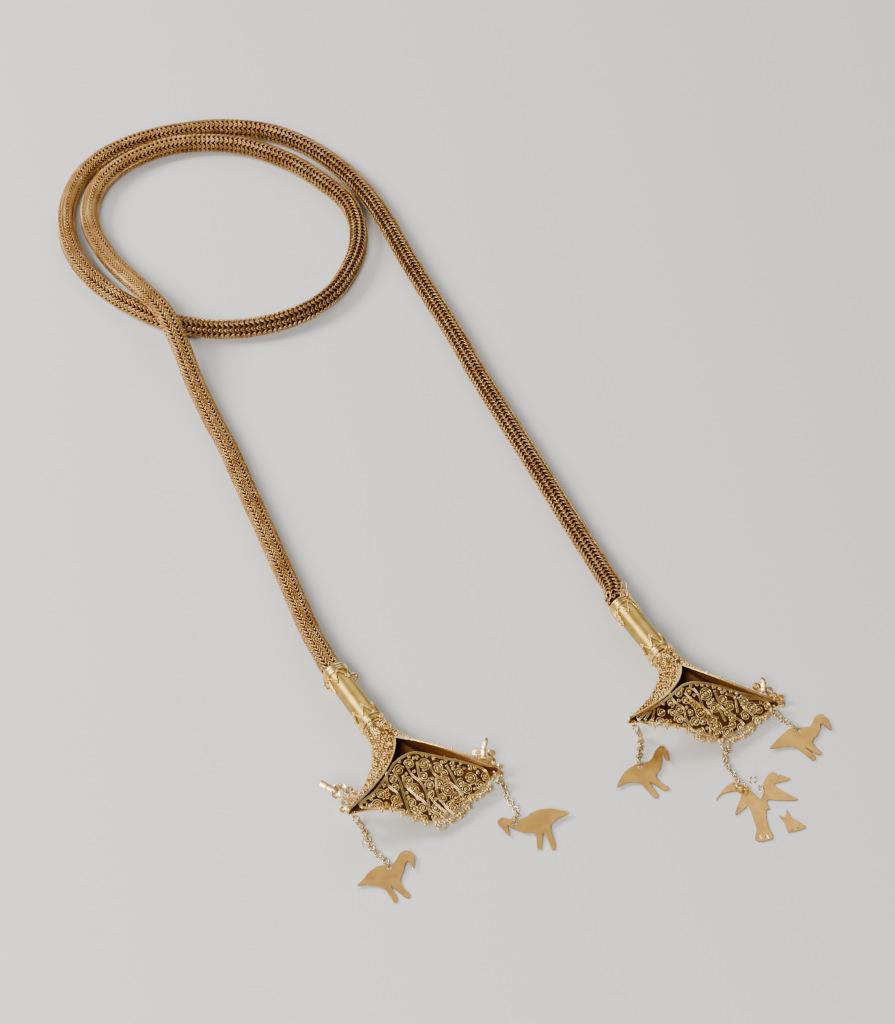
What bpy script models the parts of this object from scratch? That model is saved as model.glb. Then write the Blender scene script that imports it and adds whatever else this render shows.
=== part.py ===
"""A gold ceremonial necklace laid out on a table.

A long woven chain ends in two sheet-gold trumpets. Each trumpet has a ringed
ferrule and a pierced filigree panel in its mouth, and three of the four tips
carry a finial. Small link chains hang from the trumpets and carry flat
cut-out birds.
Units are metres, +Z is up, and the table is the plane z = 0.
"""
import math
from collections import namedtuple

import bmesh
import bpy
from mathutils import Matrix, Vector

for old in list(bpy.data.objects):
    bpy.data.objects.remove(old, do_unlink=True)

MM = 0.001

# Clearance kept between pieces that are separate solids
GAP = 0.3 * MM

# The layout is measured from a point on the table in front of the loop, and
# the part's origin lies under the middle of its rigid pieces
ORIGIN_X = 40.06 * MM
ORIGIN_Y = -106.78 * MM

# Woven chain
CHAIN_DIAMETER = 7.0 * MM
CHAIN_REST = 0.05 * MM
CHAIN_POINT_SPACING = 14.0 * MM
CHAIN_STRAIGHT_EXIT = 4.0 * MM
# Hand-chosen route of the chain's middle line, in millimetres: x, y and how far
# it is raised above lying flat. It leaves the left ferrule, climbs over the
# outer strand, goes round the inner loop and back to the right ferrule
CHAIN_ROUTE = (
    (-39.4, -69.8, 2.2), (-43.9, -58.6, 1.1), (-48.8, -43.6, 0.3), (-54.9, -26.1, 0), (-61.0, -8.9, 0),
    (-67.4, 8.8, 0), (-73.6, 26.4, 0), (-80.1, 42.0, 0.1), (-86.9, 59.2, 1.2), (-92.5, 74.6, 4.5),
    (-97.6, 86.0, 7.5), (-101.4, 92.4, 8.3), (-106.4, 100.4, 7.1), (-111.8, 109.8, 4.5), (-117.2, 119.4, 1.8),
    (-121.6, 127.6, 0.3), (-126.6, 137.6, 0), (-130.0, 147.8, 0), (-130.7, 158.8, 0), (-128.1, 170.6, 0),
    (-120.8, 182.0, 0), (-107.6, 191.8, 0), (-94.6, 195.2, 0), (-82.4, 194.8, 0), (-71.6, 191.6, 0),
    (-58.6, 183.7, 0), (-47.1, 172.9, 0), (-37.6, 161.1, 0), (-33.2, 148.9, 0), (-32.4, 134.6, 0),
    (-35.2, 121.4, 0), (-41.3, 107.6, 0), (-52.0, 96.8, 0), (-65.8, 90.4, 0), (-80.5, 88.6, 0),
    (-94.9, 91.4, 0), (-108.0, 98.4, 0), (-120.8, 109.2, 0), (-130.8, 122.6, 0), (-136.8, 137.4, 0),
    (-139.1, 153.2, 0), (-137.4, 168.2, 0), (-132.7, 180.4, 0), (-124.4, 190.6, 0), (-112.6, 198.2, 0),
    (-98.4, 203.0, 0), (-84.2, 204.8, 0), (-67.1, 202.0, 0), (-52.4, 193.0, 0), (-39.9, 180.0, 0),
    (-29.6, 164.4, 0), (-21.4, 146.0, 0), (-12.6, 122.6, 0), (1.6, 88.2, 0), (10.9, 63.9, 0),
    (21.2, 38.9, 0), (30.9, 15.6, 0), (39.7, -6.0, 0), (45.9, -21.2, 0.3), (50.2, -32.6, 1.2),
    (53.2, -41.4, 2.4),
)

# Ferrule: a rolled tube closed by a disc where the chain enters
AXIS_HEIGHT = 6.5 * MM
TUBE_RADIUS = 3.65 * MM
TUBE_WALL = 0.6 * MM
TUBE_LENGTH = 25.0 * MM
CHAIN_DISC = 0.8 * MM
ROUND_SIDES = 14
COLLAR_RINGS = 3
COLLAR_WIRE = 0.95 * MM
COLLAR_STAND = 0.2 * MM
EYE_RADIUS = 1.1 * MM
EYE_WIRE = 0.3 * MM
COLLAR_EYE_SET_BACK = 4.2 * MM
ROSETTE_RADIUS = 1.7 * MM
ROSETTE_REACH = 1.0 * MM

# Waist ring that covers the joint of ferrule and trumpet
WAIST_WIDTH = 2.2 * MM
WAIST_THICKNESS = 0.8 * MM
WAIST_SLACK = 0.1 * MM

# Trumpet: the sheet is drawn out from the tube's circle to a four-cornered mouth
SHEET_WALL = 0.5 * MM
DRAW_START = 0.54
EDGE_STEPS = 5
DRAW_STEPS = 5
TIP_HALF_HEIGHT = 1.15 * MM
TIP_ROUND = 0.7 * MM
TIP_EYE_INSET = 1.2 * MM

# Filigree panel
PANEL_THICKNESS = 0.6 * MM
PANEL_RISE = 0.9 * MM
STEM_SPACING = 4.4 * MM
SCROLL_SPACING = 3.3 * MM
PIERCING_RADIUS = 0.8 * MM
PIERCING_CORNERS = 4
PANEL_EDGE = 1.0 * MM
HEEL_EYE_RADIUS = 1.55 * MM

# Finials
FINIAL_STEM_WIDTH = 1.5 * MM
FINIAL_THICKNESS = 0.9 * MM
FLORET_RADIUS = 1.75 * MM
FLORET_SIDES = 9
FLORET_ROWS = 2

# Link chains and cut-out pendants; wires are given by their radius
LINK_WIDTH = 1.7 * MM
LINK_WIRE = 0.24 * MM
LINK_PITCH = 2.0 * MM
LINK_BITE = 0.15 * MM
LINK_STEPS = 6
LINK_SIDES = 4
RING_RADIUS = 1.05 * MM
RING_STEPS = 8
SHEET_THICKNESS = 0.45 * MM
GRIP_HOLE_RADIUS = 0.75 * MM
GRIP_STRIP = 0.9 * MM

Terminal = namedtuple("Terminal", "x y yaw roll mouth panel_plane panel_outline heel_eye finials")
Mouth = namedtuple("Mouth", "apex left_tip right_tip heel left_rim right_rim left_lip right_lip")
# A place on a wire that a ring hangs from: the way it hangs and the ring's other direction
Anchor = namedtuple("Anchor", "place away side")


def material(name, colour, roughness, metallic=1.0):
    """A plain metal for one kind of piece, colour as linear red, green and blue."""
    made = bpy.data.materials.new(name)
    made.use_nodes = True
    shader = made.node_tree.nodes["Principled BSDF"]
    shader.inputs["Base Color"].default_value = (*colour, 1.0)
    shader.inputs["Roughness"].default_value = roughness
    shader.inputs["Metallic"].default_value = metallic
    return made


WOVEN_GOLD = material("woven_gold", (0.60, 0.33, 0.13), 0.38)
POLISHED_GOLD = material("polished_gold", (0.72, 0.52, 0.20), 0.25)
FILIGREE_GOLD = material("filigree_gold", (0.80, 0.54, 0.24), 0.35)
SHEET_GOLD = material("sheet_gold", (0.70, 0.42, 0.18), 0.45)
LINK_GOLD = material("link_gold", (0.76, 0.58, 0.28), 0.32)


def add_object(name, mesh_builder, surface, parent=None, closed=True, smooth_angle=40):
    """Turn a bmesh into a named object; a closed one gets its faces pointing out."""
    if closed:
        bmesh.ops.recalc_face_normals(mesh_builder, faces=mesh_builder.faces[:])
    mesh = bpy.data.meshes.new(name)
    mesh_builder.to_mesh(mesh)
    mesh_builder.free()
    mesh.materials.append(surface)
    mesh.shade_smooth()
    mesh.set_sharp_from_angle(angle=math.radians(smooth_angle))
    made = bpy.data.objects.new(name, mesh)
    bpy.context.scene.collection.objects.link(made)
    made.parent = parent
    return made


def fuse(kept, added):
    """Fuse a second solid into a kept one; the second becomes a hidden cutter."""
    added.hide_render = True
    added.display_type = "WIRE"
    union = kept.modifiers.new("fuse_" + added.name, "BOOLEAN")
    union.operation = "UNION"
    union.solver = "EXACT"
    union.object = added


def placed(x, y):
    """A table position, measured in the layout, in the part's own frame."""
    return (x - ORIGIN_X, y - ORIGIN_Y)


def smooth_line(points, closed=False, steps=2):
    """Catmull-Rom curve through the points, with a few steps between each pair."""
    count = len(points)
    spans = count if closed else count - 1
    line = []
    for index in range(spans):
        if closed:
            before, start, end, after = (points[(index + k) % count] for k in (-1, 0, 1, 2))
        else:
            before = points[max(index - 1, 0)]
            start, end = points[index], points[index + 1]
            after = points[min(index + 2, count - 1)]
        for step in range(steps):
            t = step / steps
            line.append(0.5 * (2 * start + (end - before) * t
                               + (2 * before - 5 * start + 4 * end - after) * t ** 2
                               + (3 * start - before - 3 * end + after) * t ** 3))
    if not closed:
        line.append(points[-1])
    return line


def evenly(points, spacing):
    """Points read off a line at equal spacing, both ends included."""
    lengths = [0.0]
    for first, second in zip(points, points[1:]):
        lengths.append(lengths[-1] + (second - first).length)
    count = max(1, round(lengths[-1] / spacing))
    even = []
    span = 0
    for index in range(count + 1):
        wanted = lengths[-1] * index / count
        while span < len(points) - 2 and lengths[span + 1] < wanted:
            span += 1
        share = (wanted - lengths[span]) / (lengths[span + 1] - lengths[span])
        even.append(points[span].lerp(points[span + 1], share))
    return even


def ring_of_rings(builder, centres_and_axes, sides, close):
    """Skin a row of vertex rings; close joins the last ring to the first."""
    rings = []
    for ring in centres_and_axes:
        rings.append([builder.verts.new(point) for point in ring])
    count = len(rings)
    for index in range(count if close else count - 1):
        first, second = rings[index], rings[(index + 1) % count]
        for side in range(sides):
            after = (side + 1) % sides
            builder.faces.new((first[side], first[after], second[after], second[side]))
    return rings


def wire_loop(builder, centre, across, along, half_width, half_length, wire, steps=LINK_STEPS,
              sides=LINK_SIDES):
    """An oval ring of round wire; across and along span its plane."""
    normal = across.cross(along).normalized()
    rings = []
    for step in range(steps):
        angle = 2 * math.pi * (step + 0.5) / steps
        middle = centre + across * half_width * math.cos(angle) + along * half_length * math.sin(angle)
        outward = (across * math.cos(angle) * half_length
                   + along * math.sin(angle) * half_width).normalized()
        ring = []
        for side in range(sides):
            turn = 2 * math.pi * (side + 0.5) / sides
            ring.append(middle + outward * wire * math.cos(turn) + normal * wire * math.sin(turn))
        rings.append(ring)
    ring_of_rings(builder, rings, sides, True)


def turned(builder, profile, sides=ROUND_SIDES):
    """Spin a profile of (radius, y) points around the local Y axis."""
    loop = [builder.verts.new((radius, y, 0)) for radius, y in profile]
    edges = [builder.edges.new(pair) for pair in zip(loop, loop[1:])]
    bmesh.ops.spin(builder, geom=loop + edges, cent=(0, 0, 0), axis=(0, 1, 0), angle=2 * math.pi,
                   steps=sides, use_merge=True, use_duplicate=False)
    bmesh.ops.remove_doubles(builder, verts=builder.verts[:], dist=0.001 * MM)


def disc(builder, centre, normal, radius, thickness, sides):
    """A short round slab with its middle at the centre point."""
    turn = Vector((0, 0, 1)).rotation_difference(normal).to_matrix().to_4x4()
    bmesh.ops.create_cone(builder, cap_ends=True, cap_tris=False, segments=sides, radius1=radius,
                          radius2=radius * 0.82, depth=thickness, matrix=Matrix.Translation(centre) @ turn)


def slab(builder, outer, holes, thickness):
    """A flat sheet on z = 0 upwards with the given outline, pierced by the holes."""
    edges = []
    for loop in [outer] + holes:
        corners = [builder.verts.new((x, y, 0)) for x, y in loop]
        for first, second in zip(corners, corners[1:] + corners[:1]):
            edges.append(builder.edges.new((first, second)))
    bmesh.ops.triangle_fill(builder, use_beauty=True, use_dissolve=False, edges=edges)
    upper = bmesh.ops.extrude_face_region(builder, geom=builder.faces[:])
    raised = [item for item in upper["geom"] if isinstance(item, bmesh.types.BMVert)]
    bmesh.ops.translate(builder, verts=raised, vec=(0, 0, thickness))


# Ferrule and waist ring

def add_ferrule(side, frame, rosettes):
    collar_width = COLLAR_RINGS * COLLAR_WIRE
    inner = TUBE_RADIUS - TUBE_WALL
    profile = [(inner, GAP / 2), (TUBE_RADIUS, GAP / 2), (TUBE_RADIUS, TUBE_LENGTH - collar_width)]
    for ring in range(COLLAR_RINGS):
        start = TUBE_LENGTH - collar_width + ring * COLLAR_WIRE
        profile.append((TUBE_RADIUS + COLLAR_STAND + COLLAR_WIRE / 2, start + COLLAR_WIRE / 2))
        profile.append((TUBE_RADIUS + COLLAR_STAND, start + COLLAR_WIRE))
    profile += [(0, TUBE_LENGTH), (0, TUBE_LENGTH - CHAIN_DISC)]
    profile += [(inner, TUBE_LENGTH - CHAIN_DISC), (inner, GAP / 2)]
    builder = bmesh.new()
    turned(builder, profile)
    ferrule = add_object(side + "_ferrule", builder, POLISHED_GOLD, frame)

    trim = bmesh.new()
    y = TUBE_LENGTH - COLLAR_EYE_SET_BACK
    for way in (-1, 1):
        if rosettes:
            centre = Vector((way * (TUBE_RADIUS + ROSETTE_REACH / 2 - COLLAR_STAND), y, 0))
            disc(trim, centre, Vector((way, 0, 0)), ROSETTE_RADIUS, ROSETTE_REACH, FLORET_SIDES)
        else:
            centre = Vector((way * (TUBE_RADIUS + EYE_RADIUS), y, 0))
            wire_loop(trim, centre, Vector((1, 0, 0)), Vector((0, 0.86, 0.5)), EYE_RADIUS, EYE_RADIUS,
                      EYE_WIRE, steps=10)
    fuse(ferrule, add_object(side + "_ferrule_trim", trim, POLISHED_GOLD, frame))


def add_waist_ring(side, frame):
    inner = TUBE_RADIUS + GAP + WAIST_SLACK
    outer = inner + WAIST_THICKNESS
    half = WAIST_WIDTH / 2
    profile = [(inner, -half), (outer - WAIST_THICKNESS * 0.3, -half), (outer, -half * 0.55),
               (outer - WAIST_THICKNESS * 0.35, 0), (outer, half * 0.55),
               (outer - WAIST_THICKNESS * 0.3, half), (inner, half), (inner, -half)]
    builder = bmesh.new()
    turned(builder, profile)
    add_object(side + "_waist_ring", builder, FILIGREE_GOLD, frame)


# Trumpet

def bow(start, control, end, share):
    """Point on a quadratic curve."""
    return start * (1 - share) ** 2 + control * 2 * share * (1 - share) + end * share ** 2


def mouth_loop(mouth):
    """Points round the mouth from its apex, by the left tip, the heel and the right tip."""
    lift = Vector((0, 0, TIP_HALF_HEIGHT))
    loop = []

    def edge(start, control, end, keep_last):
        for step in range(EDGE_STEPS + keep_last):
            loop.append(bow(start, control, end, step / EDGE_STEPS))

    for way, tip, rim, lip in ((-1, mouth.left_tip, mouth.left_rim, mouth.left_lip),
                               (1, mouth.right_tip, mouth.right_rim, mouth.right_lip)):
        side = loop
        loop = []
        edge(mouth.apex, rim, tip + lift, 1)
        loop.append(tip + Vector((way * TIP_ROUND, -TIP_ROUND / 2, 0)))
        edge(tip - lift, lip, mouth.heel, 1)
        if way == 1:
            loop = side + loop[-2:0:-1]
    return loop


def add_trumpet(side, frame, mouth):
    """The drawn sheet with an eye under each tip; returns the eyes' centres."""
    loop = mouth_loop(mouth)
    columns = len(loop)
    builder = bmesh.new()
    rings = []
    for draw in range(DRAW_STEPS + 1):
        share = draw / DRAW_STEPS
        ring = []
        for column, end in enumerate(loop):
            angle = math.pi / 2 + 2 * math.pi * column / columns
            start = Vector((TUBE_RADIUS * math.cos(angle), -GAP / 2, TUBE_RADIUS * math.sin(angle)))
            control = start + Vector((0, (end.y - start.y) * DRAW_START, 0))
            ring.append(bow(start, control, end, share))
        rings.append(ring)
    ring_of_rings(builder, rings, columns, False)
    trumpet = add_object(side + "_trumpet", builder, POLISHED_GOLD, frame, closed=False)
    wall = trumpet.modifiers.new("sheet_wall", "SOLIDIFY")
    wall.thickness = SHEET_WALL
    wall.offset = -1.0
    wall.use_rim = True

    trim = bmesh.new()
    eyes = []
    for way, tip in ((-1, mouth.left_tip), (1, mouth.right_tip)):
        eye = tip + Vector((-way * TIP_EYE_INSET, -EYE_RADIUS, -TIP_HALF_HEIGHT + SHEET_WALL / 2))
        wire_loop(trim, eye, Vector((0, 1, 0)), Vector((0, 0, 1)), EYE_RADIUS, EYE_RADIUS, EYE_WIRE, steps=10)
        eyes.append(eye)
    fuse(trumpet, add_object(side + "_tip_eyes", trim, POLISHED_GOLD, frame))
    return eyes


# Filigree panel

def inside(point, loop):
    """Whether a point lies inside a closed outline."""
    crossings = 0
    for first, second in zip(loop, loop[1:] + loop[:1]):
        if (first[1] > point[1]) != (second[1] > point[1]):
            share = (point[1] - first[1]) / (second[1] - first[1])
            if point[0] < first[0] + share * (second[0] - first[0]):
                crossings += 1
    return crossings % 2 == 1


def clear_of(point, loop, distance):
    """Whether a point keeps a distance from every corner and edge of an outline."""
    spot = Vector(point)
    for first, second in zip(loop, loop[1:] + loop[:1]):
        start, end = Vector(first), Vector(second)
        along = end - start
        share = max(0.0, min(1.0, (spot - start).dot(along) / along.length_squared))
        if (start + along * share - spot).length < distance:
            return False
    return True


def panel_piercings(outline):
    """Gaps left between the rows of scrolls, staggered from stem to stem."""
    left = min(x for x, y in outline)
    front = min(y for x, y in outline)
    columns = int((max(x for x, y in outline) - left) / STEM_SPACING)
    rows = int((max(y for x, y in outline) - front) / SCROLL_SPACING) + 1
    holes = []
    for column in range(columns + 1):
        for row in range(rows + 1):
            x = left + (column + 0.5) * STEM_SPACING
            y = front + (row + 0.5 * (column % 2)) * SCROLL_SPACING
            if inside((x, y), outline) and clear_of((x, y), outline, PIERCING_RADIUS + PANEL_EDGE):
                turn = column * math.pi / 5
                hole = []
                for corner in range(PIERCING_CORNERS):
                    angle = 2 * math.pi * corner / PIERCING_CORNERS + turn
                    hole.append((x + PIERCING_RADIUS * math.cos(angle), y + PIERCING_RADIUS * math.sin(angle)))
                holes.append(hole)
    return holes


def add_panel(side, frame, terminal):
    outline = [(x * MM, y * MM) for x, y in terminal.panel_outline]
    builder = bmesh.new()
    slab(builder, outline, panel_piercings(outline), PANEL_THICKNESS)
    base, climb, lean = terminal.panel_plane
    for vertex in builder.verts:
        vertex.co.z += base * MM + climb * vertex.co.y + lean * vertex.co.x + PANEL_RISE
    panel = add_object(side + "_filigree_panel", builder, FILIGREE_GOLD, frame)

    forward = Vector((0, -1, -climb)).normalized()
    heel_x, heel_y = terminal.heel_eye
    centre = Vector((heel_x, heel_y, base * MM + climb * heel_y + lean * heel_x + PANEL_RISE + PANEL_THICKNESS / 2))
    trim = bmesh.new()
    wire_loop(trim, centre, Vector((1, 0, 0)), forward, HEEL_EYE_RADIUS, HEEL_EYE_RADIUS, EYE_WIRE, steps=12)
    fuse(panel, add_object(side + "_heel_eye", trim, FILIGREE_GOLD, frame))
    return centre, forward, Vector((1, 0, 0)).cross(forward)


# Finials

Finial = namedtuple("Finial", "name root bend end")


def add_finial(frame, finial):
    """A leafy bracket behind a tip: a stem that ends in a bent prong, with rolled florets beside it."""
    along = (finial.bend - finial.root).normalized()
    prong = (finial.end - finial.bend).normalized()
    flat = along.cross(Vector((0, 0, 1))).normalized()
    upright = flat.cross(along).normalized()
    stem = bmesh.new()
    rings = []
    for place, width in ((finial.root, 0.8), (finial.root.lerp(finial.bend, 0.2), 1.0), (finial.bend, 0.9),
                         (finial.bend + prong * FINIAL_STEM_WIDTH, 0.7), (finial.end, 0.3)):
        across = flat * FINIAL_STEM_WIDTH / 2 * width
        depth = upright * FINIAL_THICKNESS / 2 * max(width, 0.5)
        rings.append([place - across - depth, place + across - depth, place + across + depth,
                      place - across + depth])
    rings = ring_of_rings(stem, rings, 4, False)
    stem.faces.new(rings[0])
    stem.faces.new(rings[-1])
    kept = add_object(finial.name, stem, FILIGREE_GOLD, frame)

    trim = bmesh.new()
    for row in range(FLORET_ROWS):
        for way in (-1, 1):
            centre = finial.bend - along * (FLORET_RADIUS * 2 + GAP) * row
            centre += flat * way * (FLORET_RADIUS + GAP)
            disc(trim, centre, upright, FLORET_RADIUS, FINIAL_THICKNESS * 1.15, FLORET_SIDES)
    fuse(kept, add_object(finial.name + "_florets", trim, FILIGREE_GOLD, frame))


def point(x, y, z):
    """A place in a terminal's own frame, from millimetres."""
    return Vector((x, y, z)) * MM


LEFT = Terminal(
    x=-23.0 * MM, y=-100.8 * MM, yaw=math.radians(29.5), roll=math.radians(7),
    mouth=Mouth(apex=point(0.8, -11.6, 4.8), left_tip=point(-24.2, -29.5, -0.2),
                right_tip=point(24.8, -32.9, 0.9), heel=point(-0.9, -39.6, -5.2),
                left_rim=point(-4.6, -24.0, 5.4), right_rim=point(10.2, -21.1, 7.6),
                left_lip=point(-9.8, -29.4, -2.0), right_lip=point(13.2, -38.0, -3.9)),
    panel_plane=(13.33, 0.438, 0.026), heel_eye=(0.6 * MM, -42.6 * MM),
    panel_outline=((-20.7, -29.6), (-14.7, -27.7), (-8.6, -24.3), (-4.6, -21.7), (0.6, -20.6), (4.3, -21.5),
                   (9.8, -24.6), (13.9, -26.8), (18.0, -29.4), (21.2, -32.2), (20.9, -35.8), (19.1, -37.6),
                   (16.0, -37.9), (13.4, -37.3), (12.3, -38.7), (10.3, -40.5), (7.4, -41.4), (1.9, -41.6),
                   (-1.3, -41.0), (-4.6, -39.2), (-7.8, -36.6), (-11.7, -32.9), (-16.5, -31.7)),
    finials=(Finial("left_outer_finial", point(-24.4, -27.2, -0.3), point(-24.5, -19.8, -0.6),
                    point(-26.0, -15.2, -1.1)),
             Finial("left_inner_finial", point(25.9, -29.5, 2.0), point(25.3, -25.6, 3.0),
                    point(26.9, -22.3, 4.4))))

RIGHT = Terminal(
    x=67.2 * MM, y=-71.4 * MM, yaw=math.radians(28.5), roll=math.radians(11),
    mouth=Mouth(apex=point(-0.2, -10.0, 4.7), left_tip=point(-26.2, -23.0, 0.3),
                right_tip=point(22.8, -31.9, 0.6), heel=point(0.8, -35.6, -4.7),
                left_rim=point(-5.7, -21.6, 5.3), right_rim=point(8.6, -22.0, 6.2),
                left_lip=point(-11.5, -24.4, -1.8), right_lip=point(12.0, -34.2, -3.2)),
    panel_plane=(13.43, 0.484, 0.09), heel_eye=(0.5 * MM, -38.5 * MM),
    panel_outline=((-23.6, -23.3), (-16.6, -22.4), (-11.4, -21.2), (-7.6, -19.9), (-4.6, -19.1), (-0.7, -19.5),
                   (4.9, -21.8), (11.9, -26.1), (17.2, -29.0), (20.0, -32.0), (18.8, -34.6), (16.1, -34.6),
                   (13.9, -34.2), (13.0, -35.2), (11.1, -36.4), (7.9, -37.5), (4.9, -37.7), (0.9, -37.3),
                   (-3.7, -35.5), (-7.8, -32.7), (-11.4, -29.2), (-14.6, -28.4), (-21.0, -26.2)),
    finials=(Finial("right_outer_finial", point(24.6, -28.8, 2.2), point(24.0, -25.0, 3.1),
                    point(23.3, -21.7, 4.7)),))


def add_terminal(side, terminal, rosettes):
    frame = bpy.data.objects.new(side + "_terminal_frame", None)
    bpy.context.scene.collection.objects.link(frame)
    frame.location = (*placed(terminal.x, terminal.y), AXIS_HEIGHT)
    frame.rotation_euler = (0, terminal.roll, terminal.yaw)
    world = Matrix.Translation(frame.location) @ frame.rotation_euler.to_matrix().to_4x4()
    add_ferrule(side, frame, rosettes)
    add_waist_ring(side, frame)
    eyes = add_trumpet(side, frame, terminal.mouth)
    heel, forward, panel_normal = add_panel(side, frame, terminal)
    for finial in terminal.finials:
        add_finial(frame, finial)
    turn = world.to_3x3()
    hang = Vector((0, -1, -0.3)).normalized()
    anchors = []
    for eye in eyes:
        anchors.append(Anchor(world @ (eye + hang * EYE_RADIUS), turn @ hang, turn @ Vector((1, 0, 0))))
    anchors.append(Anchor(world @ (heel + forward * HEEL_EYE_RADIUS), turn @ forward, turn @ panel_normal))
    return world, anchors


LEFT_WORLD, LEFT_ANCHORS = add_terminal("left", LEFT, rosettes=False)
RIGHT_WORLD, RIGHT_ANCHORS = add_terminal("right", RIGHT, rosettes=True)


# Woven chain

def chain_end(world):
    """Where the chain leaves a ferrule, and the point a little further out."""
    face = world @ Vector((0, TUBE_LENGTH + GAP, 0))
    further = world @ Vector((0, TUBE_LENGTH + CHAIN_STRAIGHT_EXIT, 0))
    return face, further


def add_woven_chain():
    route = []
    for x, y, rise in CHAIN_ROUTE:
        height = CHAIN_DIAMETER / 2 + CHAIN_REST + rise * MM
        route.append(Vector((*placed(x * MM, y * MM), height)))
    start, near_start = chain_end(LEFT_WORLD)
    end, near_end = chain_end(RIGHT_WORLD)
    line = smooth_line([near_start] + route + [near_end], steps=6)
    even = [start] + evenly(line, CHAIN_POINT_SPACING) + [end]
    curve = bpy.data.curves.new("woven_chain", "CURVE")
    curve.dimensions = "3D"
    curve.bevel_depth = CHAIN_DIAMETER / 2
    curve.bevel_resolution = 3
    curve.use_fill_caps = True
    spline = curve.splines.new("POLY")
    spline.points.add(len(even) - 1)
    for control, place in zip(spline.points, even):
        control.co = (*place, 1.0)
    curve.materials.append(WOVEN_GOLD)
    chain = bpy.data.objects.new("woven_chain", curve)
    bpy.context.scene.collection.objects.link(chain)


add_woven_chain()


# Cut-out birds

def tilt_to_rest(sheet, low, high, lift):
    """Lean a flat sheet about its low side until the high point is raised by lift."""
    reach = Vector((high.x - low.x, high.y - low.y, 0))
    axis = reach.cross(Vector((0, 0, 1))).normalized()
    lean = Matrix.Rotation(math.atan2(lift, reach.length), 4, axis)
    about = Matrix.Translation(Vector((low.x, low.y, 0)))
    sheet.data.transform(about @ lean @ about.inverted())
    drop = min(corner.co.z for corner in sheet.data.vertices)
    sheet.data.transform(Matrix.Translation((0, 0, -drop)))


Pendant = namedtuple("Pendant", "name x y hole out outline")

BIRDS = (
    Pendant("left_outer_bird", -18.2, -156.5, (1.0, 3.2), (-0.25, 0.97),
            ((-8.5, -3.6), (-6.5, -0.6), (-5.1, 1.6), (-2.5, 3.7), (1.7, 4.6), (2.9, 6.4), (4.3, 9.0), (6.1, 9.6),
             (7.9, 8.7), (8.5, 6.6), (8.1, 2.6), (6.7, 5.4), (5.7, 4.4), (5.2, 1.8), (4.3, -1.3), (5.1, -3.6),
             (7.2, -6.6), (6.1, -7.9), (1.5, -3.6), (3.5, -7.7), (3.4, -9.4), (2.2, -9.3), (0.5, -6.1),
             (-1.1, -4.3), (-5.0, -3.3))),
    Pendant("left_inner_bird", 25.8, -138.1, (-5.6, 2.0), (-0.1, 1.0),
            ((-10.9, 2.4), (-9.3, 4.3), (-5.2, 3.4), (-2.1, 4.6), (0.0, 6.5), (3.7, 7.6), (6.6, 7.6), (10.9, 6.0),
             (7.8, 4.0), (5.5, 1.6), (5.4, -0.3), (6.7, -6.4), (5.4, -7.5), (3.2, -1.5), (2.5, -7.0), (1.6, -7.7),
             (0.9, -6.8), (0.5, -2.0), (-3.0, -1.4), (-6.4, 0.3), (-7.7, 1.0), (-7.1, -2.8), (-9.7, 0.3))),
    Pendant("right_inner_bird", 59.8, -115.2, (-0.8, 1.9), (-0.3, 0.95),
            ((-8.3, -6.2), (-6.2, -1.0), (-3.8, 1.6), (-1.4, 3.2), (1.3, 3.7), (3.0, 5.6), (4.0, 8.2), (5.7, 10.1),
             (7.2, 9.3), (8.2, 4.9), (7.4, 4.3), (6.1, 6.7), (5.9, 4.0), (5.2, 0.7), (3.9, -1.7), (5.3, -4.1),
             (7.8, -6.1), (7.0, -7.2), (5.6, -7.1), (1.9, -4.1), (4.3, -9.0), (3.7, -10.2), (2.6, -9.8),
             (0.6, -6.9), (-1.3, -4.7), (-4.9, -4.6))),
    Pendant("right_outer_bird", 109.1, -101.0, (-0.6, 2.7), (-0.55, 0.83),
            ((-9.8, -4.2), (-8.6, -4.9), (-5.1, -4.1), (-1.9, -4.4), (2.5, -8.8), (3.5, -9.3), (4.0, -7.6),
             (1.2, -4.1), (4.5, -6.9), (5.9, -6.7), (5.8, -5.8), (4.1, -3.6), (3.6, -1.5), (5.1, 0.6), (6.4, 3.6),
             (6.9, 5.5), (9.2, 3.0), (9.8, 3.9), (8.5, 8.0), (6.8, 9.4), (4.9, 8.3), (4.0, 6.0), (2.6, 4.2),
             (-2.1, 3.6), (-4.6, 2.2))),
)


PLAQUE = Pendant("two_headed_bird_plaque", 94.1, -128.8, None, None,
                 ((-12.4, 2.6), (-12.2, 3.7), (-9.2, 8.3), (-6.5, 9.9), (-4.4, 9.0), (-1.6, 6.0), (0.7, 3.3),
                  (1.9, 5.7), (2.1, 8.9), (3.2, 11.9), (5.0, 13.9), (6.9, 13.1), (10.3, 11.6), (9.9, 10.5),
                  (7.6, 9.7), (5.6, 8.9), (6.9, 7.1), (9.4, 5.1), (12.3, 2.6), (6.5, 2.4), (3.5, 2.6),
                  (2.8, 1.4), (3.5, -1.0), (2.5, -1.5), (2.3, -4.9), (2.7, -8.5), (3.8, -11.8), (2.9, -13.0),
                  (-0.2, -13.9), (-1.6, -13.2), (-1.8, -12.0), (-1.2, -8.5), (-2.0, -4.3), (-2.9, 0.0),
                  (-4.6, -1.4), (-7.0, -3.4), (-6.9, -1.3), (-4.9, 4.3), (-6.0, 5.9), (-7.5, 6.0), (-10.7, 4.8)))
PLAQUE_SLITS = (((-6.5, -2.1), (-6.1, -2.3), (-4.4, 2.3), (-4.8, 2.5)),
                ((-0.5, -11.4), (0.1, -12.8), (-0.9, -12.8)),
                ((1.6, -11.2), (2.2, -12.5), (1.1, -12.6)))
PLAQUE_RINGS = ((-3.4, 6.6), (1.3, 6.1))
PLAQUE_CHAIN_WAY = (-0.75, 0.66)
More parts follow.
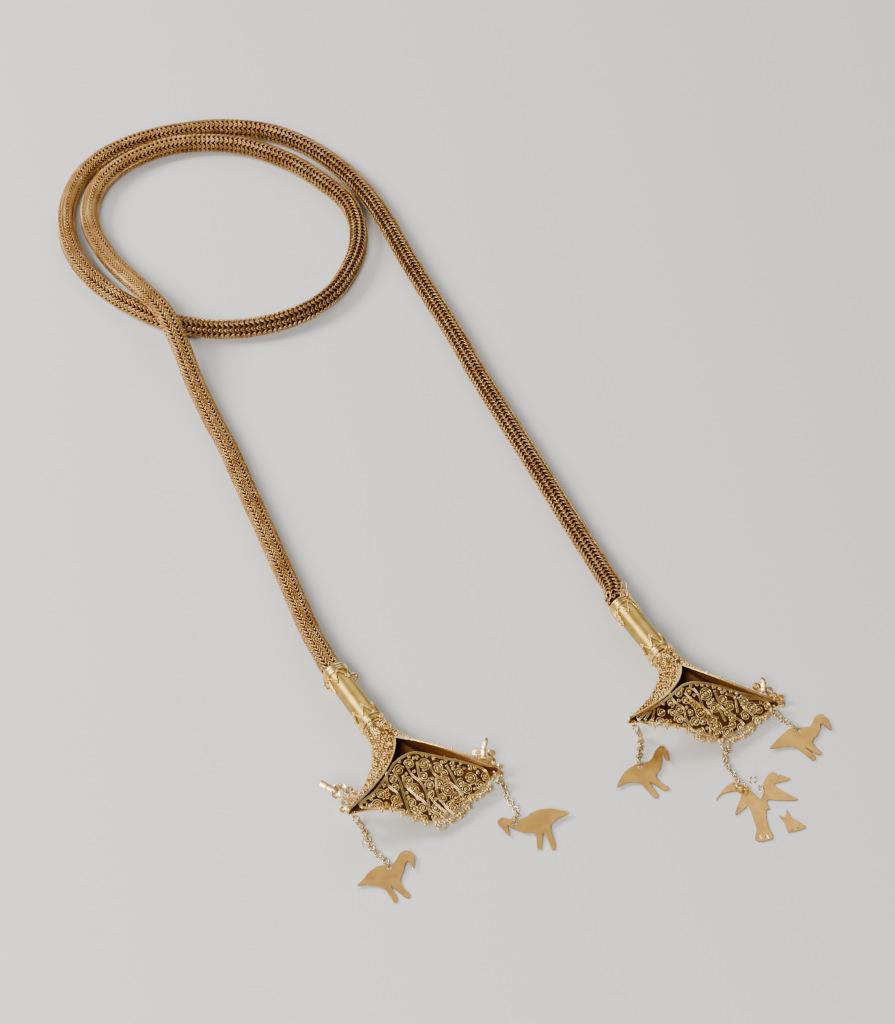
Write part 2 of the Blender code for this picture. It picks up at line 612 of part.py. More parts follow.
FRAGMENT = Pendant("loose_tail_fragment", 104.0, -134.5, None, None,
                   ((-1.4, 4.4), (-0.7, 2.6), (0.2, 1.1), (3.9, -2.1), (2.2, -3.6), (-0.2, -4.3), (-1.7, -4.4),
                    (-2.4, -1.2), (-3.9, 2.1), (-2.1, 1.7)))


def round_hole(x, y, radius, corners=7):
    """A small round hole's outline."""
    turns = [2 * math.pi * corner / corners for corner in range(corners)]
    return [(x + radius * math.cos(turn), y + radius * math.sin(turn)) for turn in turns]


def add_sheet(name, x, y, outline, holes):
    """A figure cut from flat sheet and laid on the table."""
    corners = [(corner_x * MM, corner_y * MM) for corner_x, corner_y in outline]
    builder = bmesh.new()
    slab(builder, corners, holes, SHEET_THICKNESS)
    bmesh.ops.translate(builder, verts=builder.verts[:], vec=(*placed(x * MM, y * MM), 0))
    return add_object(name, builder, SHEET_GOLD)


def add_plaque():
    """The two-headed bird with its slits and two soldered rings; returns the first ring's outer side."""
    holes = [[(x * MM, y * MM) for x, y in slit] for slit in PLAQUE_SLITS]
    plaque = add_sheet(PLAQUE.name, PLAQUE.x, PLAQUE.y, PLAQUE.outline, holes)
    away = Vector((PLAQUE_CHAIN_WAY[0], PLAQUE_CHAIN_WAY[1], 0)).normalized()
    rings = bmesh.new()
    centres = []
    for x, y in PLAQUE_RINGS:
        centre = Vector((*placed((PLAQUE.x + x) * MM, (PLAQUE.y + y) * MM), SHEET_THICKNESS + EYE_RADIUS * 0.85))
        wire_loop(rings, centre, away, Vector((0, 0, 1)), EYE_RADIUS, EYE_RADIUS, LINK_WIRE, RING_STEPS)
        centres.append(centre)
    fuse(plaque, add_object(PLAQUE.name + "_rings", rings, LINK_GOLD))
    return Anchor(centres[0] + away * EYE_RADIUS, away, away.cross(Vector((0, 0, 1))))


def add_bird(bird):
    """A bird that hangs by a hole near its back edge; returns where its ring grips and the way out."""
    hole_centre = point(*bird.hole, 0)
    sheet = add_sheet(bird.name, bird.x, bird.y, bird.outline,
                      [round_hole(hole_centre.x, hole_centre.y, GRIP_HOLE_RADIUS)])
    out = Vector((*bird.out, 0)).normalized()
    high = Vector((*placed(bird.x * MM, bird.y * MM), 0)) + hole_centre
    lowest = min(corner.co.dot(out) for corner in sheet.data.vertices)
    low = high + out * (lowest - high.dot(out))
    tilt_to_rest(sheet, low, high, 2 * LINK_WIRE + GAP)
    return high + out * (GRIP_HOLE_RADIUS + GRIP_STRIP / 2), out


# Link chains

def add_link_chain(name, anchor, path, last_ring, last_away, last_side, ends_upright):
    """Oval links in alternate planes between a ring on an anchor and a ring on a pendant."""
    contact = 2 * LINK_WIRE * math.cos(math.pi / LINK_SIDES) - LINK_BITE
    first_ring = anchor.place + anchor.away * (RING_RADIUS - EYE_WIRE - LINK_WIRE - GAP)
    start = first_ring + anchor.away * (RING_RADIUS - contact / 2)
    end = last_ring + last_away * (RING_RADIUS - contact / 2)
    line = smooth_line([start] + path + [end], steps=8)
    length = sum((second - first).length for first, second in zip(line, line[1:]))
    pairs = max(1, round(length / LINK_PITCH / 2))
    even = evenly(line, length / pairs / 2)
    groups = (bmesh.new(), bmesh.new())
    wire_loop(groups[0], first_ring, anchor.side, anchor.away, RING_RADIUS, RING_RADIUS, LINK_WIRE, RING_STEPS)
    wire_loop(groups[1], last_ring, last_side, last_away, RING_RADIUS, RING_RADIUS, LINK_WIRE, RING_STEPS)
    for index, (first, second) in enumerate(zip(even, even[1:])):
        along = (second - first).normalized()
        level = along.cross(Vector((0, 0, 1))).normalized()
        is_upright = (index % 2 == 0) == ends_upright
        across = level.cross(along).normalized() if is_upright else level
        half_length = ((second - first).length + contact) / 2
        wire_loop(groups[(index + 1) % 2], (first + second) / 2, across, along, LINK_WIDTH / 2 - LINK_WIRE,
                  half_length, LINK_WIRE)
    chain = add_object(name, groups[0], LINK_GOLD)
    fuse(chain, add_object(name + "_other_links", groups[1], LINK_GOLD))


BIRD_CHAINS = (
    ("left_outer_chain", LEFT_ANCHORS[0], BIRDS[0]),
    ("left_inner_chain", LEFT_ANCHORS[1], BIRDS[1]),
    ("right_inner_chain", RIGHT_ANCHORS[0], BIRDS[2]),
    ("right_outer_chain", RIGHT_ANCHORS[1], BIRDS[3]),
)
UPWARD = Vector((0, 0, 1))
for chain_name, chain_anchor, chain_bird in BIRD_CHAINS:
    grip, grip_out = add_bird(chain_bird)
    grip_ring = grip + UPWARD * (RING_RADIUS + LINK_WIRE)
    resting = chain_anchor.place.lerp(grip_ring, 0.65)
    resting.z = LINK_WIDTH * 0.7
    add_link_chain(chain_name, chain_anchor, [resting], grip_ring, grip_out, UPWARD, True)

plaque_anchor = add_plaque()
plaque_ring = plaque_anchor.place + plaque_anchor.away * (RING_RADIUS - EYE_WIRE - LINK_WIRE - GAP)
middle_path = [Vector((*placed(x * MM, y * MM), LINK_WIDTH * 0.6)) for x, y in ((85.7, -109.4), (87.8, -116.2))]
add_link_chain("right_middle_chain", RIGHT_ANCHORS[2], middle_path, plaque_ring, plaque_anchor.away,
               plaque_anchor.side, True)
add_sheet(FRAGMENT.name, FRAGMENT.x, FRAGMENT.y, FRAGMENT.outline, [])
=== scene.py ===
"""The finish of a gold ceremonial necklace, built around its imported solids.

Metres, +Z up. The necklace lies on the table z = 0, its two trumpets to the
front and the loop of its woven chain to the back.
"""

import math
import random

import bpy
from mathutils import Euler, Matrix, Vector
from mathutils.bvhtree import BVHTree


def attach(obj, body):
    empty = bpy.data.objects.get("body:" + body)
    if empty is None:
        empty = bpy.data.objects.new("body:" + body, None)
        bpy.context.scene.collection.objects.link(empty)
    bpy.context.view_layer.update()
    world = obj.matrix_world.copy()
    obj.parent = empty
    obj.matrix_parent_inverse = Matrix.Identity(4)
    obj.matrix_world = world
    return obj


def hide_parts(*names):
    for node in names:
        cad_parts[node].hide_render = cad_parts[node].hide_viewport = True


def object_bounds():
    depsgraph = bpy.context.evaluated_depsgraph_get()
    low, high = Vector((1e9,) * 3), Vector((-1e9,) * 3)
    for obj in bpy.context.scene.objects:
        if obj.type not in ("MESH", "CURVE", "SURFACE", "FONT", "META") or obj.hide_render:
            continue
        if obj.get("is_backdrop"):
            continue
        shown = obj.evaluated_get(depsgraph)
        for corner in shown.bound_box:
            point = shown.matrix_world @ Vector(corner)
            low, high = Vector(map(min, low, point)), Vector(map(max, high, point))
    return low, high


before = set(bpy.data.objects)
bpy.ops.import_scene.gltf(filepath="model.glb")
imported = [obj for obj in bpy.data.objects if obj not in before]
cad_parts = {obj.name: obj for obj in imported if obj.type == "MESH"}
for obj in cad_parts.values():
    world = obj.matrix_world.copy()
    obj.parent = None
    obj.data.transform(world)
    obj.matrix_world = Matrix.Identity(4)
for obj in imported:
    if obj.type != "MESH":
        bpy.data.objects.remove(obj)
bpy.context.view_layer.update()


# Table, lights and camera
# A plain pale table top under wide soft lamps, seen from the front and from
# 44 degrees up, from about a metre away.
MM = 0.001
VIEW_TARGET = Vector((-40.06, 106.78, 0)) * MM
VIEW_DISTANCE = 1069 * MM
VIEW_ELEVATION = math.radians(44)
PICTURE_SIZE = (895, 1024)
LENS_PIXELS = 3223
SENSOR = 36
CLIP_RANGE = (0.05, 20)
TABLE_SIZE = 6
TABLE_COLOUR = "#E6E3DD"
TABLE_ROUGHNESS = 0.75
ROOM_COLOUR = "#C9CDD2"
ROOM_STRENGTH = 0.24
# Each lamp's name, place, width in metres and watts
LAMPS = (
    ("left_softbox", (-0.95, 0.3, 0.62), 0.4, 16.0),
    ("back_softbox", (0.1, 1.1, 0.9), 1.0, 9.0),
    ("front_softbox", (-0.3, -0.8, 0.75), 0.35, 13.0),
)


def linear(colour):
    """An sRGB hex colour as linear red, green, blue and full alpha."""
    shares = [int(colour[place:place + 2], 16) / 255 for place in (1, 3, 5)]
    return tuple(s / 12.92 if s <= 0.04045 else ((s + 0.055) / 1.055) ** 2.4 for s in shares) + (1.0,)


def add_node(tree, kind, inputs, **settings):
    """Adds a shader node; each input is a plain value or another node's output."""
    made = tree.nodes.new(kind)
    for name, value in settings.items():
        setattr(made, name, value)
    for name, value in inputs.items():
        if isinstance(value, bpy.types.NodeSocket):
            tree.links.new(value, made.inputs[name])
        else:
            made.inputs[name].default_value = value
    return made


def plain_material(name, colour, roughness, metallic=0.0):
    """A material of one colour; its shader node is returned too."""
    made = bpy.data.materials.new(name)
    made.use_nodes = True
    shader = made.node_tree.nodes["Principled BSDF"]
    shader.inputs["Base Color"].default_value = linear(colour)
    shader.inputs["Roughness"].default_value = roughness
    shader.inputs["Metallic"].default_value = metallic
    return made, shader


def choose(piece):
    """Makes a piece the only selected and active object."""
    bpy.ops.object.select_all(action="DESELECT")
    piece.select_set(True)
    bpy.context.view_layer.objects.active = piece


def add_object(name, data):
    """A new object in the scene."""
    made = bpy.data.objects.new(name, data)
    bpy.context.scene.collection.objects.link(made)
    return made


bpy.ops.mesh.primitive_plane_add(size=TABLE_SIZE)
table_top = bpy.context.object
table_top.name = "table_top"
table_top.data.materials.append(plain_material("matt painted board", TABLE_COLOUR, TABLE_ROUGHNESS)[0])
table_top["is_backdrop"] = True

camera = add_object("camera", bpy.data.cameras.new("camera"))
view_way = Vector((0, -math.cos(VIEW_ELEVATION), math.sin(VIEW_ELEVATION)))
camera.location = VIEW_TARGET + view_way * VIEW_DISTANCE
camera.rotation_euler = (math.pi / 2 - VIEW_ELEVATION, 0, 0)
camera.data.sensor_fit = "VERTICAL"
camera.data.sensor_height = SENSOR
camera.data.lens = SENSOR * LENS_PIXELS / PICTURE_SIZE[1]
camera.data.clip_start, camera.data.clip_end = CLIP_RANGE
bpy.context.scene.camera = camera

for name, place, width, watts in LAMPS:
    lamp = bpy.data.lights.new(name, "AREA")
    lamp.shape = "SQUARE"
    lamp.size = width
    lamp.energy = watts
    holder = add_object(name, lamp)
    holder.location = place
    holder.rotation_euler = (VIEW_TARGET - holder.location).to_track_quat("-Z", "Y").to_euler()

room = bpy.data.worlds.new("room")
room.use_nodes = True
room.node_tree.nodes["Background"].inputs["Color"].default_value = linear(ROOM_COLOUR)
room.node_tree.nodes["Background"].inputs["Strength"].default_value = ROOM_STRENGTH
bpy.context.scene.world = room


# Woven chain
# Loops of gold wire threaded through each other round a hollow middle, filled here
# by a dark core whose colour is painted shade. Their bends lie in eight ridges, worn
# bright, and their legs run down from the ridges and meet in the valleys as a
# herringbone, with gaps between them that show the core's painted shade.
CHAIN_DIAMETER = 7.0 * MM
CHAIN_REST = 0.05 * MM
CORE_RADIUS = 2.5 * MM
WEAVE_RIDGES = 8
WEAVE_PITCH = 1.79 * MM
WEAVE_WIRE = 0.235 * MM
INNER_WIRE = 0.22 * MM
# Half a loop from its bend down to the valley, in millimetres: away from the
# ridge, along the chain and below the ridge's height; then the bend of the loop
# threaded through it, as far as it shows
LOOP_SHAPE = ((0, 1.9, 0), (0.24, 1.66, 0.02), (0.74, 0.97, 0.16), (1.3, 0.16, 0.5))
INNER_SHAPE = ((0, 1.02, 0.02), (0.15, 0.8, 0.08), (0.26, 0.45, 0.5))
WEAVE_SECTIONS = 4
WEAVE_INSET = 1.4 * MM
LINE_SPACING = 2.0 * MM
# How far the weave is turned about the chain's middle line at its two ends
WEAVE_TURNS = (math.radians(-11), math.radians(-17))
# Loops that have slipped out of the weave beside the right collar, in the
# photograph's pixels
SLIPPED_LOOPS = (((620.5, 596), (621.2, 588), (622.6, 582.4), (625.2, 582.2), (626.6, 586), (627.4, 596)),
                 ((622.8, 598), (623.2, 592), (624.6, 589.2), (626.2, 592), (627, 599)),
                 ((624.6, 601), (627.2, 596.6), (628.8, 592.4), (630.2, 597), (630.8, 603)),
                 ((607.2, 598), (606.4, 594.4), (608.4, 591.4), (610.2, 594), (610.4, 599)))
SLIPPED_STAND = 0.35 * CHAIN_DIAMETER
# The chain's middle line, given in millimetres from the middle of the view: x, y
# and how far it is raised above lying flat
CHAIN_ROUTE = (
    (-39.4, -69.8, 2.2), (-43.9, -58.6, 1.1), (-48.8, -43.6, 0.3), (-54.9, -26.1, 0), (-61.0, -8.9, 0),
    (-67.4, 8.8, 0), (-73.6, 26.4, 0), (-80.1, 42.0, 0.1), (-86.9, 59.2, 1.2), (-92.5, 74.6, 4.5),
    (-97.6, 86.0, 7.5), (-101.4, 92.4, 8.3), (-106.4, 100.4, 7.1), (-111.8, 109.8, 4.5), (-117.2, 119.4, 1.8),
    (-121.6, 127.6, 0.3), (-126.6, 137.6, 0), (-130.0, 147.8, 0), (-130.7, 158.8, 0), (-128.1, 170.6, 0),
    (-120.8, 182.0, 0), (-107.6, 191.8, 0), (-94.6, 195.2, 0), (-82.4, 194.8, 0), (-71.6, 191.6, 0),
    (-58.6, 183.7, 0), (-47.1, 172.9, 0), (-37.6, 161.1, 0), (-33.2, 148.9, 0), (-32.4, 134.6, 0),
    (-35.2, 121.4, 0), (-41.3, 107.6, 0), (-52.0, 96.8, 0), (-65.8, 90.4, 0), (-80.5, 88.6, 0),
    (-94.9, 91.4, 0), (-108.0, 98.4, 0), (-120.8, 109.2, 0), (-130.8, 122.6, 0), (-136.8, 137.4, 0),
    (-139.1, 153.2, 0), (-137.4, 168.2, 0), (-132.7, 180.4, 0), (-124.4, 190.6, 0), (-112.6, 198.2, 0),
    (-98.4, 203.0, 0), (-84.2, 204.8, 0), (-67.1, 202.0, 0), (-52.4, 193.0, 0), (-39.9, 180.0, 0),
    (-29.6, 164.4, 0), (-21.4, 146.0, 0), (-12.6, 122.6, 0), (1.6, 88.2, 0), (10.9, 63.9, 0),
    (21.2, 38.9, 0), (30.9, 15.6, 0), (39.7, -6.0, 0), (45.9, -21.2, 0.3), (50.2, -32.6, 1.2),
    (53.2, -41.4, 2.4),
)
TUBE_LENGTH = 25.0 * MM
CHAIN_GAP = 0.3 * MM
CHAIN_STRAIGHT_EXIT = 4.0 * MM
MERGE_DISTANCE = 0.002 * MM
PATCH_DETAIL = 3.0
PATCH_EDGES = (0.35, 0.65)
DENT_SIZE = 2.2 * MM
DENT_DETAIL = 5.0
# Each terminal's own frame, at the joint of its ferrule and trumpet: its place,
# its turn on the table and its roll
TERMINAL_PLACES = {
    "left": (Vector((-23.0, -100.8, 6.5)) * MM, math.radians(29.5), math.radians(7)),
    "right": (Vector((67.2, -71.4, 6.5)) * MM, math.radians(28.5), math.radians(11)),
}


def on_table(x, y, z=0.0):
    """A place given in millimetres from the middle of the view, in the part's own frame."""
    return Vector((x, y, z)) * MM + VIEW_TARGET


def seen_on(pixel_x, pixel_y, point, normal):
    """The point of a plane that the camera sees at a pixel of the photograph."""
    ray = Vector((pixel_x - PICTURE_SIZE[0] / 2, PICTURE_SIZE[1] / 2 - pixel_y, -LENS_PIXELS))
    ray.rotate(camera.rotation_euler)
    return camera.location + ray * ((point - camera.location).dot(normal) / ray.dot(normal))


TERMINAL_FRAMES = {}
for side, (place, yaw, roll) in TERMINAL_PLACES.items():
    turn = Euler((0, roll, yaw)).to_matrix().to_4x4()
    TERMINAL_FRAMES[side] = Matrix.Translation(place + VIEW_TARGET) @ turn


def smooth_line(points, closed=False, steps=6):
    """Catmull-Rom curve through the points, with a few steps between each pair."""
    count = len(points)
    line = []
    for index in range(count if closed else count - 1):
        if closed:
            before, start, end, after = (points[(index + k) % count] for k in (-1, 0, 1, 2))
        else:
            before, start = points[max(index - 1, 0)], points[index]
            end, after = points[index + 1], points[min(index + 2, count - 1)]
        for step in range(steps):
            t = step / steps
            line.append(0.5 * (2 * start + (end - before) * t
                               + (2 * before - 5 * start + 4 * end - after) * t ** 2
                               + (3 * start - before - 3 * end + after) * t ** 3))
    return line if closed else line + [points[-1]]


def length_of(line):
    """The length of a line of points."""
    return sum((second - first).length for first, second in zip(line, line[1:]))


def evenly(line, spacing):
    """Points read off a line at equal spacing, both ends included."""
    lengths = [0.0]
    for first, second in zip(line, line[1:]):
        lengths.append(lengths[-1] + (second - first).length)
    count = max(1, round(lengths[-1] / spacing))
    even = []
    span = 0
    for index in range(count + 1):
        wanted = lengths[-1] * index / count
        while span < len(line) - 2 and lengths[span + 1] < wanted:
            span += 1
        share = (wanted - lengths[span]) / (lengths[span + 1] - lengths[span])
        even.append(line[span].lerp(line[span + 1], share))
    return even


def new_curve(name, lines, radius, roundness, closed):
    """A curve object of round wires along the lines; roundness adds sides."""
    curve = bpy.data.curves.new(name, "CURVE")
    curve.dimensions = "3D"
    curve.bevel_depth = radius
    curve.bevel_resolution = roundness
    curve.use_fill_caps = True
    for line in lines:
        spline = curve.splines.new("POLY")
        spline.points.add(len(line) - 1)
        for control, place in zip(spline.points, line):
            control.co = (*place, 1.0)
        spline.use_cyclic_u = closed
    return add_object(name, curve)


def add_wires(name, lines, radius, roundness=1, closed=False):
    """One closed mesh of round wires along the lines."""
    made = new_curve(name, lines, radius, roundness, closed)
    choose(made)
    bpy.ops.object.convert(target="MESH")
    made = bpy.context.object
    bpy.ops.object.mode_set(mode="EDIT")
    bpy.ops.mesh.select_all(action="SELECT")
    bpy.ops.mesh.remove_doubles(threshold=MERGE_DISTANCE)
    bpy.ops.object.mode_set(mode="OBJECT")
    return made


def join(name, pieces):
    """Joins pieces into the first one under a new name."""
    bpy.ops.object.select_all(action="DESELECT")
    for piece in pieces:
        piece.select_set(True)
    bpy.context.view_layer.objects.active = pieces[0]
    bpy.ops.object.join()
    made = bpy.context.object
    made.name = name
    made.data.name = name
    return made


def apply_modifiers(piece):
    """Applies all of a piece's modifiers to its mesh."""
    choose(piece)
    for modifier in list(piece.modifiers):
        bpy.ops.object.modifier_apply(modifier=modifier.name)


def finish_piece(piece, surfaces):
    """Gives a piece its materials, each face keeping its material slot, and sets it on the necklace's one
    body.
    """
    slots = [polygon.material_index for polygon in piece.data.polygons]
    piece.data.materials.clear()
    for surface in surfaces:
        piece.data.materials.append(surface)
    piece.data.polygons.foreach_set("material_index", slots)
    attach(piece, "root")
    return piece


def gold(name, colour, worn, roughness, patch=9.0, dent=0.0):
    """Gold that wanders between two shades in patches. Its dents' size and depth are in millimetres."""
    made, shader = plain_material(name, colour, roughness, 1.0)
    tree = made.node_tree
    where = add_node(tree, "ShaderNodeTexCoord", {}).outputs["Object"]
    noise = add_node(tree, "ShaderNodeTexNoise",
                     {"Vector": where, "Scale": 1 / (patch * MM), "Detail": PATCH_DETAIL})
    spread = add_node(tree, "ShaderNodeMapRange",
                      {"Value": noise.outputs["Fac"], "From Min": PATCH_EDGES[0], "From Max": PATCH_EDGES[1]})
    blend = add_node(tree, "ShaderNodeMix", {"Factor": spread.outputs["Result"]}, data_type="RGBA")
    blend.inputs["A"].default_value = linear(colour)
    blend.inputs["B"].default_value = linear(worn)
    tree.links.new(blend.outputs["Result"], shader.inputs["Base Color"])
    if dent:
        hollows = add_node(tree, "ShaderNodeTexNoise",
                           {"Vector": where, "Scale": 1 / DENT_SIZE, "Detail": DENT_DETAIL})
        bump = add_node(tree, "ShaderNodeBump", {"Height": hollows.outputs["Fac"], "Distance": dent * MM})
        tree.links.new(bump.outputs["Normal"], shader.inputs["Normal"])
    return made


# Drawn gold wire, woven: warm and bright where it is rubbed
WOVEN_WIRE = gold("woven gold wire", "#BE8846", "#DCAE6C", 0.28, 6.0)
# The chain's inside: a dark core whose colour is painted shade, standing in for the
# inner wires and the gaps between the loops in shadow
CORE_PAINTED_AS_SHADE = gold("gold core painted as shade", "#38210F", "#4A2C16", 0.7)

(chain_start, near_start), (chain_end, near_end) = (
    [TERMINAL_FRAMES[side] @ Vector((0, TUBE_LENGTH + further, 0))
     for further in (CHAIN_GAP, CHAIN_STRAIGHT_EXIT)]
    for side in ("left", "right"))
route = [on_table(x, y, rise + (CHAIN_DIAMETER / 2 + CHAIN_REST) / MM) for x, y, rise in CHAIN_ROUTE]
chain_line = smooth_line([near_start] + route + [near_end])
chain_line = [chain_start] + evenly(chain_line, LINE_SPACING) + [chain_end]

# A dark core inside the weave: its colour is painted shade for the chain's shadowed inside
chain_core = add_wires("woven_chain_core", [chain_line], CORE_RADIUS, 4)
finish_piece(chain_core, [CORE_PAINTED_AS_SHADE])
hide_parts("woven_chain")

ridge_radius = CHAIN_DIAMETER / 2 - WEAVE_WIRE
outer_loops, inner_loops = [], []
for ridge in range(WEAVE_RIDGES):
    for shape, loops in ((LOOP_SHAPE, outer_loops), (INNER_SHAPE, inner_loops)):
        loop = []
        for way, half in ((-1, shape[::-1]), (1, shape[1:])):
            for aside, along, depth in half:
                angle = 2 * math.pi * ridge / WEAVE_RIDGES + way * aside * MM / ridge_radius
                radius = ridge_radius - depth * MM
                loop.append(Vector((along * MM, radius * math.cos(angle), radius * math.sin(angle))))
        loops.append(loop)

inside_ends = [TERMINAL_FRAMES[side] @ Vector((0, TUBE_LENGTH - WEAVE_INSET, 0)) for side in ("left", "right")]
guide_line = [inside_ends[0]] + chain_line + [inside_ends[1]]
guide_length = length_of(guide_line)
guide = new_curve("chain_guide", [guide_line], 0, 0, False)
guide.data.twist_mode = "Z_UP"
for index, control in enumerate(guide.data.splines[0].points):
    share = index / (len(guide_line) - 1)
    control.tilt = WEAVE_TURNS[0] + (WEAVE_TURNS[1] - WEAVE_TURNS[0]) * share
rows = int((guide_length - LOOP_SHAPE[0][1] * MM) / WEAVE_PITCH)
for section in range(WEAVE_SECTIONS):
    first_row = rows * section // WEAVE_SECTIONS
    row_count = rows * (section + 1) // WEAVE_SECTIONS - first_row
    name = f"woven_chain_wires_{section + 1}"
    piece = join(name, [add_wires(name, outer_loops, WEAVE_WIRE),
                        add_wires("inner", inner_loops, INNER_WIRE, 0)])
    piece.data.shade_smooth()
    piece.data.transform(Matrix.Translation((first_row * WEAVE_PITCH, 0, 0)))
    repeat = piece.modifiers.new("rows", "ARRAY")
    repeat.use_relative_offset = False
    repeat.use_constant_offset = True
    repeat.constant_offset_displace = (WEAVE_PITCH, 0, 0)
    repeat.count = row_count
    follow = piece.modifiers.new("follow", "CURVE")
    follow.object = guide
    apply_modifiers(piece)
    finish_piece(piece, [WOVEN_WIRE])
bpy.data.objects.remove(guide)

view_way = (camera.location - chain_end).normalized()
slipped = [smooth_line([seen_on(*spot, chain_end + view_way * SLIPPED_STAND, view_way) for spot in loop])
           for loop in SLIPPED_LOOPS]
slipped = add_wires("slipped_loops", slipped, INNER_WIRE)
slipped.data.shade_smooth()
finish_piece(slipped, [WOVEN_WIRE])


# Ferrules
# A tube rolled from sheet gold and left plain in the middle, polished by wear.
# A collar of three wires closes it where the chain enters, and wire zigzags
# tipped with granules run round both ends.
TUBE_RADIUS = 3.65 * MM
TUBE_WALL = 0.6 * MM
CHAIN_DISC = 0.8 * MM
SOCKET_DEPTH = 1.7 * MM
SOCKET_RADIUS = 3.53 * MM
SEAM_GAP = 0.15 * MM
EDGE_ROUND = 0.12 * MM
ROUND_STEPS = 64
RING_STEPS = 20
TUBE_CREASE = math.radians(35)
SMALL_GRANULE = 0.42 * MM
LARGE_GRANULE = 0.6 * MM
# In a triangle of granules, how far the first stands out and the other two lie
# back from its tip, in radii
TRIANGLE_TOP = 0.9
TRIANGLE_FOOT = 0.8
# Each collar wire's place along the tube and its radius, in millimetres, and how
# far out its middle is, in wire radii
COLLAR_WIRES = ((24.6, 0.5), (23.6, 0.42), (22.75, 0.42))
COLLAR_STAND = 0.4
# Where the zigzags' teeth start and end along the tube
UPPER_ZIGZAG = (22.4 * MM, 18.9 * MM)
LOWER_ZIGZAG = (1.4 * MM, 5.6 * MM)
ZIGZAG_TURN = {"left": (math.radians(135), math.radians(107)), "right": (math.radians(117), math.radians(114))}
ZIGZAG_COUNT = 6
ZIGZAG_WIRE = 0.24 * MM
ZIGZAG_STEPS = 5
ZIGZAG_SPREAD = 0.92
TIP_BALL = SMALL_GRANULE * 1.05
TIP_BALL_STAND = SMALL_GRANULE * 0.6
VALLEY_BALL = LARGE_GRANULE * 0.8
VALLEY_BALL_STAND = LARGE_GRANULE * 0.5
VALLEY_SHARE = 0.1
# A wedge of two wires, with a row of granules between them, down each side
WEDGE_LENGTH = 6.0 * MM
WEDGE_WIDTH = 1.7 * MM
WEDGE_STEPS = 6
WEDGE_BALLS = 10
WEDGE_BALL = SMALL_GRANULE * 1.25
WEDGE_BALL_LOSS = SMALL_GRANULE * 0.04
WEDGE_BALL_STAND = SMALL_GRANULE * 0.7
# The left ferrule's two side rings, and the right one's rosettes in their place
SIDE_PLACE = 20.8 * MM
SIDE_RING_RADIUS = 1.05 * MM
SIDE_RING_WIRE = 0.54 * MM
SIDE_RING_TILT = Vector((0, 0.86, 0.5))
ROSETTE_PETALS = 7
ROSETTE_REACH = LARGE_GRANULE * 1.9
ROSETTE_PETAL = LARGE_GRANULE * 0.85
ROSETTE_HEART = LARGE_GRANULE * 1.3
ROSETTE_HEART_STAND = LARGE_GRANULE * 0.6
X_WAY = Vector((1, 0, 0))
Y_WAY = Vector((0, 1, 0))
Z_WAY = Vector((0, 0, 1))


def new_mesh(name, points, faces, edges=()):
    """A mesh object of the points, with faces or bare edges between them."""
    mesh = bpy.data.meshes.new(name)
    mesh.from_pydata(points, edges, faces)
    return add_object(name, mesh)


def face_outwards(piece):
    """Turns all faces of a closed mesh outwards."""
    choose(piece)
    bpy.ops.object.mode_set(mode="EDIT")
    bpy.ops.mesh.select_all(action="SELECT")
    bpy.ops.mesh.normals_make_consistent(inside=False)
    bpy.ops.object.mode_set(mode="OBJECT")


def spun(name, profile):
    """Spins a profile of (radius, y) points round the Y axis into a closed mesh."""
    made = new_mesh(name, [(radius, y, 0) for radius, y in profile], [],
                    [(index, index + 1) for index in range(len(profile) - 1)])
    choose(made)
    bpy.ops.object.mode_set(mode="EDIT")
    bpy.ops.mesh.select_all(action="SELECT")
    bpy.ops.mesh.spin(steps=ROUND_STEPS, angle=2 * math.pi, center=(0, 0, 0), axis=(0, 1, 0))
    bpy.ops.mesh.select_all(action="SELECT")
    bpy.ops.mesh.remove_doubles(threshold=MERGE_DISTANCE)
    bpy.ops.object.mode_set(mode="OBJECT")
    face_outwards(made)
    bpy.ops.object.shade_smooth_by_angle(angle=TUBE_CREASE)
    return made


def repeated(name, pattern, places):
    """One mesh with a copy of the pattern at each place, given as a matrix; the pattern is used up."""
    corners = [vertex.co.copy() for vertex in pattern.data.vertices]
    faces = [tuple(face.vertices) for face in pattern.data.polygons]
    bpy.data.objects.remove(pattern)
    points = [place @ corner for place in places for corner in corners]
    all_faces = [tuple(index + copy * len(corners) for index in face)
                 for copy in range(len(places)) for face in faces]
    made = new_mesh(name, points, all_faces)
    made.data.shade_smooth()
    return made


def granules(name, balls, fineness=1):
    """Small balls of gold, given by centre and radius."""
    bpy.ops.mesh.primitive_ico_sphere_add(subdivisions=fineness, radius=1)
    return repeated(name, bpy.context.object,
                    [Matrix.Translation(centre) @ Matrix.Scale(radius, 4) for centre, radius in balls])


def circle(centre, across, along, radius, steps=RING_STEPS):
    """A closed circle, or an ellipse where across and along differ in length."""
    turns = [2 * math.pi * step / steps for step in range(steps)]
    return [centre + (across * math.cos(turn) + along * math.sin(turn)) * radius for turn in turns]


def ring_wire(name, y, wire, reach):
    """A wire bent into a ring round the tube."""
    return add_wires(name, [circle(Y_WAY * y, X_WAY, Z_WAY, reach, ROUND_STEPS)], wire, 2, True)


def round_tube(angle, y, height):
    """A place on the ferrule's tube, by angle round it and height above its skin."""
    radius = TUBE_RADIUS + height
    return Vector((radius * math.cos(angle), y, radius * math.sin(angle)))


def three_balls(tip, side_way, out_way, radius):
    """A triangle of three touching granules with its point at the tip."""
    foot = tip - out_way * radius * TRIANGLE_FOOT
    return [(tip + out_way * radius * TRIANGLE_TOP, radius), (foot - side_way * radius, radius),
            (foot + side_way * radius, radius)]


# Sheet gold, burnished by wear: a greenish yellow with a soft shine
BURNISHED_GOLD = gold("burnished sheet gold", "#BFA04A", "#A68638", 0.44, 4.0, 0.05)
# Soldered gold wire and granules: warm, each ball with its own bright point
FILIGREE_GOLD = gold("soldered gold wire", "#F3C268", "#FFDF94", 0.28, 5.0)

